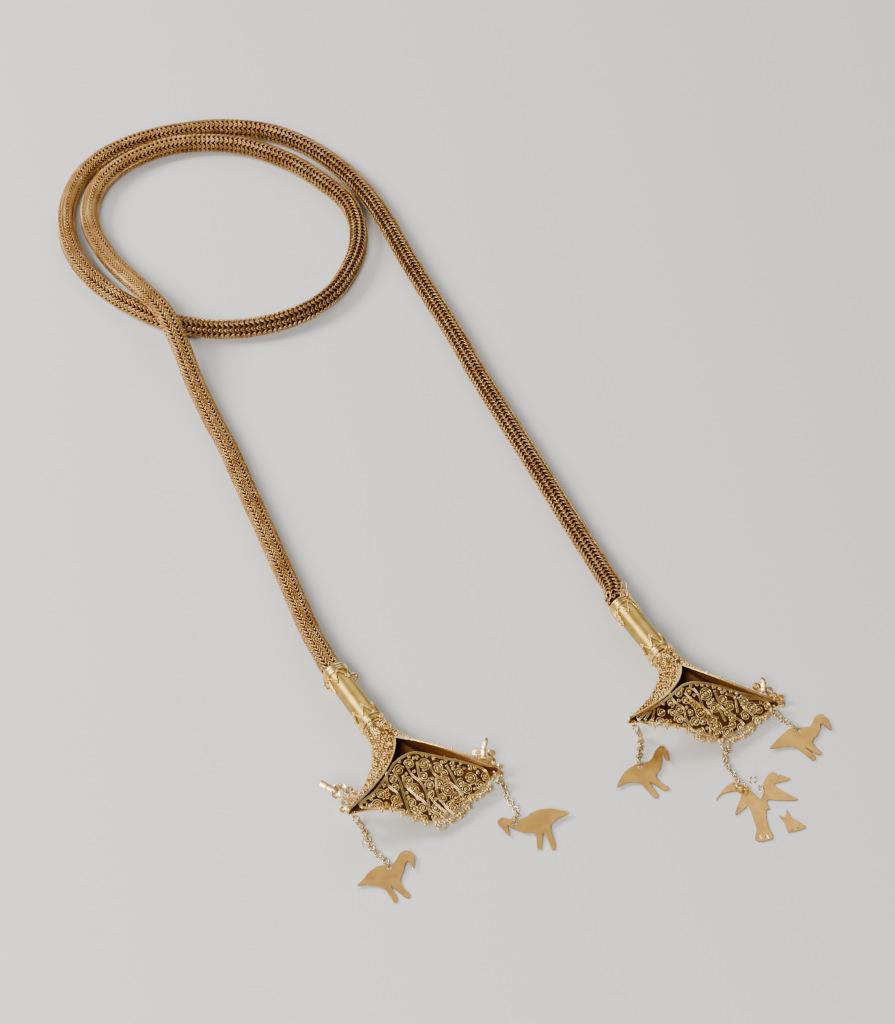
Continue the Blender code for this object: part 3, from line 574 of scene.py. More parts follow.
for side, frame_matrix in TERMINAL_FRAMES.items():
    inner = TUBE_RADIUS - TUBE_WALL
    socket_floor = TUBE_LENGTH - SOCKET_DEPTH
    tube = spun(side + "_ferrule_tube", [
        (0, socket_floor), (SOCKET_RADIUS, socket_floor), (SOCKET_RADIUS, TUBE_LENGTH),
        (TUBE_RADIUS, TUBE_LENGTH), (TUBE_RADIUS, TUBE_LENGTH / 2), (TUBE_RADIUS, SEAM_GAP + EDGE_ROUND),
        (TUBE_RADIUS - EDGE_ROUND, SEAM_GAP), (inner, SEAM_GAP), (inner, socket_floor - CHAIN_DISC),
        (0, socket_floor - CHAIN_DISC)])
    tube.data.transform(frame_matrix)
    finish_piece(tube, [BURNISHED_GOLD])
    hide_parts(side + "_ferrule")

    collar = [ring_wire("collar", y * MM, wire * MM, TUBE_RADIUS + wire * MM * COLLAR_STAND)
              for y, wire in COLLAR_WIRES]
    wires, balls = [], []
    half = math.pi / ZIGZAG_COUNT
    for (base, tip), turn in zip((UPPER_ZIGZAG, LOWER_ZIGZAG), ZIGZAG_TURN[side]):
        out = Y_WAY * math.copysign(1, tip - base)
        valley = base + (tip - base) * VALLEY_SHARE
        for tooth in range(ZIGZAG_COUNT):
            middle = turn + 2 * half * tooth
            line = []
            for step in range(-ZIGZAG_STEPS, ZIGZAG_STEPS + 1):
                share = step / ZIGZAG_STEPS
                y = tip + (base - tip) * abs(share)
                line.append(round_tube(middle + share * half * ZIGZAG_SPREAD, y, ZIGZAG_WIRE))
            wires.append(line)
            side_way = Vector((-math.sin(middle), 0, math.cos(middle)))
            balls += three_balls(round_tube(middle, tip, TIP_BALL_STAND), side_way, out, TIP_BALL)
            balls.append((round_tube(middle + half, valley, VALLEY_BALL_STAND), VALLEY_BALL))
    for way in (0, math.pi):
        start = UPPER_ZIGZAG[0]
        for edge in (-1, 1):
            line = []
            for step in range(WEDGE_STEPS + 1):
                share = step / WEDGE_STEPS
                aside = edge * WEDGE_WIDTH / 2 / TUBE_RADIUS * (1 - share)
                line.append(round_tube(way + aside, start - WEDGE_LENGTH * share, ZIGZAG_WIRE))
            wires.append(line)
        for ball in range(WEDGE_BALLS):
            y = start - WEDGE_LENGTH * (ball + 0.5) / WEDGE_BALLS
            balls.append((round_tube(way, y, WEDGE_BALL_STAND), WEDGE_BALL - WEDGE_BALL_LOSS * ball))
        if side == "left":
            centre = round_tube(way, SIDE_PLACE, SIDE_RING_RADIUS)
            ring = circle(centre, X_WAY, SIDE_RING_TILT, SIDE_RING_RADIUS)
            collar.append(add_wires("side_ring", [ring], SIDE_RING_WIRE, 2, True))
        else:
            centre = round_tube(way, SIDE_PLACE, SMALL_GRANULE)
            petals = circle(centre, Y_WAY, Z_WAY, ROSETTE_REACH, ROSETTE_PETALS)
            balls += [(petal, ROSETTE_PETAL) for petal in petals]
            balls.append((centre + X_WAY * math.cos(way) * ROSETTE_HEART_STAND, ROSETTE_HEART))
    collar.append(add_wires("zigzag", wires, ZIGZAG_WIRE))
    collar.append(granules("balls", balls, 2))
    collar = join(side + "_collar_and_zigzags", collar)
    collar.data.transform(frame_matrix)
    finish_piece(collar, [FILIGREE_GOLD])


# Waist rings
# Three wires soldered side by side cover the joint of ferrule and trumpet,
# with pairs of large granules along their front edge.
WAIST_WIRES = ((0.75, 0.5), (-0.1, 0.34), (-0.72, 0.34))
WAIST_GAP = 0.02 * MM
WAIST_STAND = 0.6
WAIST_PAIRS = 6
WAIST_PAIR_TURN = {"left": math.radians(64), "right": math.radians(82)}
WAIST_PAIR_SPREAD = 0.115
WAIST_PAIR_PLACE = -1.35 * MM
WAIST_PAIR_STAND = LARGE_GRANULE * 1.1

for side, frame_matrix in TERMINAL_FRAMES.items():
    waist = [ring_wire("waist", y * MM, wire * MM, TUBE_RADIUS + WAIST_GAP + wire * MM * WAIST_STAND)
             for y, wire in WAIST_WIRES]
    balls = []
    for pair in range(WAIST_PAIRS):
        for aside in (-WAIST_PAIR_SPREAD, WAIST_PAIR_SPREAD):
            turn = WAIST_PAIR_TURN[side] + 2 * math.pi * pair / WAIST_PAIRS + aside
            balls.append((round_tube(turn, WAIST_PAIR_PLACE, WAIST_PAIR_STAND), LARGE_GRANULE))
    waist.append(granules("balls", balls, 2))
    waist = join(side + "_waist_wires", waist)
    waist.data.transform(frame_matrix)
    finish_piece(waist, [FILIGREE_GOLD])
    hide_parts(side + "_waist_ring")


# Trumpets
# Sheet gold drawn out from the tube's circle to a wide four-cornered mouth. A
# wire finishes the mouth's edge and both upper faces are covered in granules.
SHEET_WALL = 0.5 * MM
DRAW_START = 0.54
TIP_HALF_HEIGHT = 1.15 * MM
TIP_ROUND = 0.7 * MM
MOUTH_STEPS = 96
DRAW_STEPS = 24
SKIN_STEP = 0.004
# The share of the mouth's edge between the apex or the heel and a tip
CORNER = 5 / 24
EDGE_WIRE = 0.34 * MM
EDGE_WIRE_STEPS = 120
EYE_RADIUS = 1.1 * MM
EYE_WIRE = 0.3 * MM
TIP_EYE_INSET = 1.2 * MM
# Each mouth's corners in the terminal's own frame, in millimetres: its apex, heel
# and two tips, and the points that bow its upper edge (rims) and lower one (lips)
MOUTHS = {
    "left": dict(apex=(0.8, -11.6, 4.8), heel=(-0.9, -39.6, -5.2),
                 tips=((-24.2, -29.5, -0.2), (24.8, -32.9, 0.9)),
                 rims=((-4.6, -24.0, 5.4), (10.2, -21.1, 7.6)),
                 lips=((-9.8, -29.4, -2.0), (13.2, -38.0, -3.9))),
    "right": dict(apex=(-0.2, -10.0, 4.7), heel=(0.8, -35.6, -4.7),
                  tips=((-26.2, -23.0, 0.3), (22.8, -31.9, 0.6)),
                  rims=((-5.7, -21.6, 5.3), (8.6, -22.0, 6.2)),
                  lips=((-11.5, -24.4, -1.8), (12.0, -34.2, -3.2))),
}


def bow(start, control, end, share):
    """A point on a quadratic curve."""
    return start * (1 - share) ** 2 + control * 2 * share * (1 - share) + end * share ** 2


def mouth_edge(side, turn):
    """A point of the mouth's edge; turn goes from the apex by the left tip, heel and right tip."""
    mouth = MOUTHS[side]
    which = 0 if turn <= 0.5 else 1
    share = turn if turn <= 0.5 else 1 - turn
    apex, heel = (Vector(mouth[key]) * MM for key in ("apex", "heel"))
    tip, rim, lip = (Vector(mouth[key][which]) * MM for key in ("tips", "rims", "lips"))
    lift = Vector((0, 0, TIP_HALF_HEIGHT))
    if share < CORNER:
        return bow(apex, rim, tip + lift, share / CORNER)
    if share < 0.5 - CORNER:
        beyond = tip + Vector((TIP_ROUND * 2 * (2 * which - 1), -TIP_ROUND, 0))
        return bow(tip + lift, beyond, tip - lift, (share - CORNER) / (0.5 - 2 * CORNER))
    return bow(tip - lift, lip, heel, (share - 0.5 + CORNER) / CORNER)


def on_trumpet(side, turn, share):
    """A point of the trumpet's outer face, share of the way from the tube to the mouth."""
    end = mouth_edge(side, turn % 1)
    angle = math.pi / 2 + 2 * math.pi * turn
    start = Vector((TUBE_RADIUS * math.cos(angle), -SEAM_GAP, TUBE_RADIUS * math.sin(angle)))
    control = start + Vector((0, (end.y - start.y) * DRAW_START, 0))
    return bow(start, control, end, share)


def trumpet_skin(side, turn, share):
    """A point of the outer face with its outward direction."""
    round_way = on_trumpet(side, turn + SKIN_STEP, share) - on_trumpet(side, turn - SKIN_STEP, share)
    forward = on_trumpet(side, turn, share + SKIN_STEP) - on_trumpet(side, turn, share - SKIN_STEP)
    out = forward.normalized().cross(round_way.normalized()).normalized()
    angle = math.pi / 2 + 2 * math.pi * turn
    if out.dot(Vector((math.cos(angle), 0, math.sin(angle)))) < 0:
        out = -out
    return on_trumpet(side, turn, share), out


def tip_eye(side, which):
    """The middle of the eye under a trumpet's left tip (0) or right one (1), in the terminal's own frame."""
    tip = Vector(MOUTHS[side]["tips"][which]) * MM
    return tip + Vector(((1, -1)[which] * TIP_EYE_INSET, -EYE_RADIUS, -TIP_HALF_HEIGHT + SHEET_WALL / 2))


# The trumpet's inside was never polished: brown-gold and dull
INNER_GOLD = gold("unpolished gold", "#C8955C", "#A97844", 0.5)
TRUMPET_GOLD = gold("plain sheet gold", "#C39A5C", "#B0864C", 0.42)
# The sheet between the granules and coils is painted dark brown as the shade between them,
# and the floor of the horn behind the panel is painted darker still as its shade
BED_PAINTED_AS_SHADE = gold("gold between granules painted as shade", "#6A4622", "#84602F", 0.55, 3.0)
HORN_INSIDE_PAINTED_SHADE = gold("gold inside the horn painted as shade", "#64411F", "#80562E", 0.6, 3.0)

SHEET_SURFACES = [BED_PAINTED_AS_SHADE, INNER_GOLD, TRUMPET_GOLD, HORN_INSIDE_PAINTED_SHADE]
TRUMPET_SKINS = {}
for side, frame_matrix in TERMINAL_FRAMES.items():
    points = [on_trumpet(side, column / MOUTH_STEPS, row / DRAW_STEPS)
              for row in range(DRAW_STEPS + 1) for column in range(MOUTH_STEPS)]
    faces = []
    for row in range(DRAW_STEPS):
        for column in range(MOUTH_STEPS):
            after = (column + 1) % MOUTH_STEPS
            low, high = row * MOUTH_STEPS, (row + 1) * MOUTH_STEPS
            faces.append((low + column, high + column, high + after, low + after))
    TRUMPET_SKINS[side] = BVHTree.FromPolygons(points, faces)
    sheet = new_mesh(side + "_trumpet_sheet", points, faces)
    sheet.data.shade_smooth()
    skin_out = trumpet_skin(side, 0.5 / MOUTH_STEPS, 0.5 / DRAW_STEPS)[1]
    if sheet.data.polygons[0].normal.dot(skin_out) < 0:
        sheet.data.flip_normals()
    for surface in SHEET_SURFACES:
        sheet.data.materials.append(surface)
    # The upper faces take the bed painted as shade; the wall's inside under the lower face, behind the panel,
    # takes the horn's inside painted as shade
    for polygon in sheet.data.polygons:
        column = polygon.index % MOUTH_STEPS
        lower_face = MOUTH_STEPS * CORNER <= column < MOUTH_STEPS * (1 - CORNER)
        polygon.material_index = SHEET_SURFACES.index(TRUMPET_GOLD if lower_face else BED_PAINTED_AS_SHADE)
    wall = sheet.modifiers.new("wall", "SOLIDIFY")
    wall.thickness = SHEET_WALL
    wall.offset = -1.0
    wall.material_offset = 1
    apply_modifiers(sheet)
    sheet.data.transform(frame_matrix)
    finish_piece(sheet, SHEET_SURFACES)
    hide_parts(side + "_trumpet")

    edge = [mouth_edge(side, step / EDGE_WIRE_STEPS) for step in range(EDGE_WIRE_STEPS)]
    trim = [add_wires("mouth_wire", [edge], EDGE_WIRE, 2, True)]
    for which in (0, 1):
        loop = circle(tip_eye(side, which), Y_WAY, Z_WAY, EYE_RADIUS)
        trim.append(add_wires("tip_eye", [loop], EYE_WIRE, 2, True))
    trim = join(side + "_mouth_wire", trim)
    trim.data.transform(frame_matrix)
    finish_piece(trim, [FILIGREE_GOLD])


# Granulation
# The trumpets' upper faces carry a roundel of wound wire under the waist ring,
# small rolled coils in rows with pairs of granules between them, and tiny balls
# of gold that fill what is left.
LOBE_TURNS = (0.012, 0.225)
LOBE_SHARES = (0.1, 0.965)
GRAIN_SEED = 7
GRAIN_RADIUS = 0.3 * MM
GRAIN_SIZES = (1, 1, 1, 1.35)
GRAIN_STAND = 0.6
GRAIN_SPACING = 0.7 * MM
GRAIN_CLEARANCE = GRAIN_RADIUS * 0.8
GRAIN_TRIES = 9000
COIL_WIRE = 0.2 * MM
COIL_STAND = COIL_WIRE * 0.8
COIL_PITCH = 0.64 * MM
COIL_STEPS = 18
COIL_END = 0.3
PAIR_BALL = 0.4 * MM
PAIR_STAND = PAIR_BALL * 0.7
PAIR_PIXELS = 1.3
SINGLE_BALL = PAIR_BALL * 1.1
# Where the two neck wires lie, and the share of the way to the mouth within
# which they are looked for, by halving
NECK_WIRES = (-1.75 * MM, -2.2 * MM)
NECK_STAND = COIL_WIRE * 0.6
NECK_SHARE = 0.6
NECK_HALVINGS = 16
# The roundel, coils and granules of the face turned to the camera, as they lie
# in the photograph, in its pixels; the other face has its own, placed alike
ROUNDELS = {"left": (377.6, 727.8, 8.6), "right": (664.4, 659.2, 7.0)}
LOBE_COILS = {
    "left": ((385.1, 737, 2.5), (373.8, 746.5, 4), (386.9, 746, 3.6), (376, 752.6, 4.4), (386.3, 751.5, 3),
             (373, 758.8, 3.2), (384.2, 757.4, 3.3), (374.4, 763.6, 2.9), (381.5, 762.5, 2.8),
             (371.6, 767.8, 2.8), (376.2, 768.6, 2.4), (380.6, 767.8, 2.6), (372.4, 773, 2.8),
             (377.3, 773.6, 2.2), (369.8, 778, 2.8), (374.4, 778.4, 2), (367.4, 782.6, 2.4),
             (371, 783.2, 2), (365.6, 787.6, 2.2), (368.6, 788.2, 1.7), (363.2, 791.6, 1.8),
             (360.6, 794.6, 1.6)),
    "right": ((674.6, 664.6, 2.4), (664, 673.8, 3.4), (664, 680, 3.2), (664.2, 686, 2.8), (660.6, 684, 2),
              (663.3, 691, 2.4), (659.8, 695, 2.2), (679, 671.2, 2.2), (676.9, 675.4, 2), (676, 679.6, 2),
              (674.4, 683.6, 2), (672.4, 687.4, 1.9), (669.8, 690.8, 1.8), (666.4, 694.4, 1.8),
              (656.8, 699, 2), (653.2, 702.8, 1.8), (649.8, 706.2, 1.6), (660.6, 699.6, 1.7),
              (646.4, 709, 1.4)),
}
LOBE_PAIRS = {
    "left": ((378.6, 737.4), (390.8, 737.4), (378.3, 745.9), (390.4, 745.9), (387.6, 754), (379, 756.6),
             (385.3, 762.4), (386.5, 729)),
    "right": ((666.5, 666.6), (659.4, 669.4), (669.7, 671.8), (674.4, 660.8), (670, 676.6), (669.6, 680.8),
              (668, 686.8), (666.5, 690.6)),
}
LOBE_SINGLES = {
    "left": ((369.4, 741), (372.5, 750), (373.6, 760.6), (377.2, 765.2), (371.5, 777), (369, 784.5)),
    "right": ((659.7, 676.8), (659.7, 680.9), (658.6, 687.5), (658.3, 691.4), (661.1, 697.5), (656.5, 700)),
}
# What one of the photograph's pixels measures on the necklace
PIXEL = 0.31 * MM
EDGE_BALL_SPACING = 4.3 * MM
EDGE_BALL = 0.4 * MM
EDGE_BALL_OFFSET = Vector((0, EDGE_BALL * 0.6, EDGE_WIRE + EDGE_BALL * 0.4))
FAR_RIM = 0.98 * CORNER
FAR_RIM_STEPS = 60


def coil(centre, across, up, radius, pitch, curl, start):
    """A flat spiral of wire in the plane of across and up."""
    turns = max(1.0, radius / pitch - COIL_END)
    steps = int(turns * COIL_STEPS)
    line = []
    for step in range(steps + 1):
        turn = start + curl * 2 * math.pi * turns * step / steps
        reach = radius * (1 - step / steps * (1 - COIL_END * pitch / radius))
        line.append(centre + across * reach * math.cos(turn) + up * reach * math.sin(turn))
    return line


def skin_near(side, place, toward):
    """The nearest place on a trumpet's skin, with its outward direction."""
    spot, out = TRUMPET_SKINS[side].find_nearest(place)[:2]
    return spot, out if out.dot(toward) > 0 else -out


def skin_seen(side, pixel_x, pixel_y, mirrored):
    """The place on a trumpet's skin seen at a pixel, or its mirror image, and the way out."""
    to_own = TERMINAL_FRAMES[side].inverted()
    eye = to_own @ camera.location
    view_way = (camera.location - TERMINAL_FRAMES[side].translation).normalized()
    aim = to_own @ seen_on(pixel_x, pixel_y, TERMINAL_FRAMES[side].translation, view_way)
    spot = TRUMPET_SKINS[side].ray_cast(eye, (aim - eye).normalized())[0] or aim
    toward = eye - spot
    if mirrored:
        spot.x = 2 * MOUTHS[side]["apex"][0] * MM - spot.x
        toward.x = -toward.x
    return skin_near(side, spot, toward)


def laid_coil(side, spot, out, radius, curl, start):
    """A coil of wire wound flat on the skin round a place."""
    across = out.cross(Y_WAY).normalized()
    up = across.cross(out)
    line = []
    for point in coil(spot, across, up, radius, COIL_PITCH, curl, start):
        below, below_out = skin_near(side, point, out)
        line.append(below + below_out * COIL_STAND)
    return line


def neck_ring(side, y):
    """A closed line round the trumpet's skin at one distance from the tube."""
    line = []
    for step in range(ROUND_STEPS):
        turn = step / ROUND_STEPS
        low, high = 0.0, NECK_SHARE
        for halving in range(NECK_HALVINGS):
            share = (low + high) / 2
            if on_trumpet(side, turn, share).y > y:
                low = share
            else:
                high = share
        skin, out = trumpet_skin(side, turn, low)
        line.append(skin + out * NECK_STAND)
    return line


grain_chance = random.Random(GRAIN_SEED)
for side, frame_matrix in TERMINAL_FRAMES.items():
    wires, large, small = [], [], []
    ball_places = [(x + aside, y, PAIR_BALL)
                   for x, y in LOBE_PAIRS[side] for aside in (-PAIR_PIXELS, PAIR_PIXELS)]
    ball_places += [(x, y, SINGLE_BALL) for x, y in LOBE_SINGLES[side]]
    for way in (1, -1):
        mirrored = way == -1
        taken = []
        rounds = LOBE_COILS[side] + (() if mirrored else (ROUNDELS[side],))
        for index, (x, y, radius) in enumerate(rounds):
            spot, out = skin_seen(side, x, y, mirrored)
            wires.append(laid_coil(side, spot, out, radius * PIXEL, way, index))
            taken.append((spot, radius * PIXEL + GRAIN_CLEARANCE))
        for x, y, radius in ball_places:
            spot, out = skin_seen(side, x, y, mirrored)
            large.append((spot + out * PAIR_STAND, radius))
            taken.append((spot, PAIR_BALL + GRAIN_CLEARANCE))
        settled = []
        for attempt in range(GRAIN_TRIES):
            turn = way * grain_chance.uniform(*LOBE_TURNS)
            share = grain_chance.uniform(*LOBE_SHARES)
            place = on_trumpet(side, turn, share)
            if any((place - other).length_squared < GRAIN_SPACING ** 2 for other in settled):
                continue
            if any((place - other).length < reach for other, reach in taken):
                continue
            settled.append(place)
            out = trumpet_skin(side, turn, share)[1]
            radius = GRAIN_RADIUS * grain_chance.choice(GRAIN_SIZES)
            small.append((place + out * radius * GRAIN_STAND, radius))
    far_rim = [mouth_edge(side, (-FAR_RIM * step / FAR_RIM_STEPS) % 1) for step in range(FAR_RIM_STEPS + 1)]
    large += [(place + EDGE_BALL_OFFSET, EDGE_BALL) for place in evenly(far_rim, EDGE_BALL_SPACING)[1:]]
    work = join(side + "_granulation", [
        add_wires("coils", wires, COIL_WIRE), granules("small", small), granules("large", large, 2),
        add_wires("neck", [neck_ring(side, y) for y in NECK_WIRES], COIL_WIRE, 1, True)])
    work.data.shade_smooth()
    work.data.transform(frame_matrix)
    finish_piece(work, [FILIGREE_GOLD])


# Filigree panels
# Open wirework that fills each mouth: doubled stems run down it from the back
# left to the front right, and rolled coils fill the spaces between. Stacks of
# three granules stand along the free edge.
PANEL_RISE = 0.9 * MM
PANEL_THICKNESS = 0.6 * MM
# The plane that each panel lies above: its height in millimetres at the terminal's
# middle line, its climb along the line and its lean across it
PANEL_PLANES = {"left": (13.33, 0.438, 0.026), "right": (13.43, 0.484, 0.09)}
SCROLL_WIRE = 0.19 * MM
SCROLL_PITCH = 0.68 * MM
SCROLL_GROWTH = 1.12
SCROLL_TURN = 1.7
MIDDLE_STAND = SCROLL_WIRE * 0.5
MIDDLE_BALL = SMALL_GRANULE * 0.9
FILLER_TRIES = 6000
FILLER_RADII = (0.42 * MM, 1.5 * MM)
FILLER_STARTS = (0, 6)
FILLER_WITH_BALL = SMALL_GRANULE * 1.5
FILLER_BALL = SMALL_GRANULE * 0.8
STEM_WIRE = 0.17 * MM
STEM_STAND = STEM_WIRE * 0.6
STEM_ASIDE = STEM_WIRE * 1.3
STEM_CLEARANCE = STEM_WIRE * 1.6
FRAME_WIRE = 0.2 * MM
FRAME_SINK = FRAME_WIRE * 0.2
FRAME_STAND = FRAME_WIRE * 0.5
FRAME_INSET = FRAME_WIRE * 1.9
STACK_SPACING = 3.6 * MM
STACK_BALL = SMALL_GRANULE * 1.25
STACK_REACH = FRAME_WIRE + SMALL_GRANULE * 1.6
LINE_STEPS = 5
HEEL_EYE_STEPS = 24
HEEL_EYE_RADIUS = 1.55 * MM
HEEL_EYES = {"left": (0.6, -42.6), "right": (0.5, -38.5)}
PANEL_OUTLINES = {
    "left": ((-20.7, -29.6), (-14.7, -27.7), (-8.6, -24.3), (-4.6, -21.7), (0.6, -20.6), (4.3, -21.5),
             (9.8, -24.6), (13.9, -26.8), (18.0, -29.4), (21.2, -32.2), (20.9, -35.8), (19.1, -37.6),
             (16.0, -37.9), (13.4, -37.3), (12.3, -38.7), (10.3, -40.5), (7.4, -41.4), (1.9, -41.6),
             (-1.3, -41.0), (-4.6, -39.2), (-7.8, -36.6), (-11.7, -32.9), (-16.5, -31.7)),
    "right": ((-23.6, -23.3), (-16.6, -22.4), (-11.4, -21.2), (-7.6, -19.9), (-4.6, -19.1), (-0.7, -19.5),
              (4.9, -21.8), (11.9, -26.1), (17.2, -29.0), (20.0, -32.0), (18.8, -34.6), (16.1, -34.6),
              (13.9, -34.2), (13.0, -35.2), (11.1, -36.4), (7.9, -37.5), (4.9, -37.7), (0.9, -37.3),
              (-3.7, -35.5), (-7.8, -32.7), (-11.4, -29.2), (-14.6, -28.4), (-21.0, -26.2)),
}
# Which corners of each outline lie on the free front edge
FREE_CORNERS = (10, 22)
# Stems and coils as they lie in the photograph, in its pixels
PANEL_STEMS = {
    "left": (((393, 770), (400, 782), (405, 800), (411, 817)),
             ((404, 762), (412, 775), (420, 782), (427, 795), (430, 815)),
             ((403, 775), (405, 785), (415, 795), (425, 803), (428, 810)),
             ((417, 762), (420, 780)),
             ((430, 765), (435, 775), (450, 783), (460, 792), (465, 800)),
             ((436, 778), (438, 795), (447, 808), (455, 815)),
             ((446, 765), (452, 775), (457, 785), (463, 795)),
             ((386, 772), (388, 785), (397, 793), (402, 805)),
             ((428, 794), (436, 804), (448, 814))),
    "right": (((669.4, 693.3), (674.4, 701.7), (683.3, 708.3), (685.6, 717.2), (690, 727.2), (693.3, 731.7)),
              ((693.3, 688.3), (698.9, 696.1), (702.2, 705), (707.8, 717.2), (710, 726.1), (710.2, 733.9)),
              ((684.4, 692.8), (691.7, 699.4), (703.9, 708.3), (710.6, 715), (718.3, 718.3)),
              ((714.4, 690.6), (717.8, 699.4), (722.2, 708.3), (731.1, 715), (740, 720.6), (744.4, 725)),
              ((725.6, 693.9), (734.4, 697.2), (736.7, 707.2), (737.8, 712.8)),
              ((738.3, 697.2), (743.3, 707.2), (752.2, 715), (752.8, 721.7), (747.8, 727.2)),
              ((667.8, 710.6), (677.8, 715), (685.6, 720.6), (690, 722.8)),
              ((740, 696.1), (750, 698.3), (763.3, 699.4), (771, 701.7)),
              ((718.9, 708.3), (723.3, 717.2), (725.6, 721.7)),
              ((638.9, 719.4), (647.8, 710.6)), ((644.4, 720), (651.1, 710.6)), ((652.2, 720.6),
                                                                                 (654.4, 709.4))),
}
PANEL_COILS = {
    "left": ((399, 770, 5), (392.5, 779, 4.2), (395, 787, 4.2), (409, 781, 5), (415, 789, 5),
             (409.5, 764, 4.5), (424, 764, 6), (424, 776, 5), (420, 796, 5), (412, 803, 4.5), (414, 809, 4),
             (395, 799, 4.5), (397, 806, 4.5), (430, 785, 4.5), (430, 793, 4), (440, 784, 4.5),
             (448, 790, 6), (443, 798, 4.5), (456, 798, 6), (450, 804, 4), (436, 808, 5.5), (423, 808, 5),
             (416, 817, 5), (436, 817, 5), (424.5, 818, 4), (455, 808, 4.5), (445, 814, 4.5), (438, 768, 5),
             (443.5, 773, 4.5), (447, 780, 4), (461, 783, 4.5), (466.5, 789, 5.5), (471, 778, 6),
             (486, 776, 5), (481, 785, 5), (378, 805, 5.5), (381, 794, 5), (403, 812, 4), (370, 806, 3.5),
             (464, 804, 4.5), (460, 813, 4.5), (452.5, 819, 4.5), (470, 797.5, 4), (478, 795.5, 4),
             (486, 791, 4), (443, 821, 3.5)),
    "right": ((688.9, 691.5, 3.8), (678.3, 693.3, 4.2), (705.6, 693.5, 6.5), (723.3, 699.5, 5),
              (730, 706.1, 5), (714.4, 707.8, 5.5), (708.9, 703.3, 3.5), (685.6, 699.9, 4),
              (691.1, 701.1, 4), (696.7, 707.2, 4.5), (670.6, 703.3, 4), (679.4, 709.4, 4.5),
              (661.7, 712.2, 4.5), (679.4, 718.9, 4.8), (660, 721.7, 4.5), (667.5, 721.7, 3.8),
              (700.6, 713.3, 4.8), (695.6, 721.7, 5), (703.3, 721.7, 4.2), (700.6, 731.7, 4.5),
              (717.2, 726.1, 5.5), (728.3, 731.7, 6), (716.7, 733.9, 4), (732.2, 717.8, 4.2),
              (732.2, 724.2, 4.2), (741.1, 727.1, 4), (745.6, 715.6, 4.8), (727.2, 712.8, 3.8),
              (744.4, 701.6, 4.5), (752.2, 707.2, 6), (759, 709.4, 4.8), (766.9, 706.6, 4),
              (713.3, 720.6, 4), (689, 729, 3.5), (652.2, 723, 3.2), (672.5, 713, 3.8), (709, 712.5, 3.5),
              (745, 733, 4.5), (737, 737, 4), (752, 727, 4), (757, 719, 4), (696, 737, 3.2),
              (704, 739, 3.2), (712, 740, 3)),
}


def in_panel(side, x, y):
    """A point on the panel's middle plane, in the terminal's own frame."""
    base, climb, lean = PANEL_PLANES[side]
    return Vector((x, y, base * MM + climb * y + lean * x + PANEL_RISE + PANEL_THICKNESS / 2))


def seen_in_panel(side, pixel_x, pixel_y):
    """The point of a panel that the camera sees at a pixel, in the terminal's own frame."""
    base, climb, lean = PANEL_PLANES[side]
    frame_matrix = TERMINAL_FRAMES[side]
    normal = frame_matrix.to_3x3() @ Vector((-lean, -climb, 1))
    return frame_matrix.inverted() @ seen_on(pixel_x, pixel_y, frame_matrix @ in_panel(side, 0, 0), normal)


def beside(line, step, normal):
    """A copy of a line moved sideways in the plane with that normal."""
    moved = []
    for index, place in enumerate(line):
        along = (line[min(index + 1, len(line) - 1)] - line[max(index - 1, 0)]).normalized()
        moved.append(place + normal.cross(along).normalized() * step)
    return moved


def encloses(corners, spot):
    """Whether a closed line of (x, y) corners goes round a place."""
    crossings = 0
    for (x, y), (next_x, next_y) in zip(corners, corners[1:] + corners[:1]):
        if (y > spot.y) != (next_y > spot.y) and spot.x < x + (next_x - x) * (spot.y - y) / (next_y - y):
            crossings += 1
    return crossings % 2 == 1


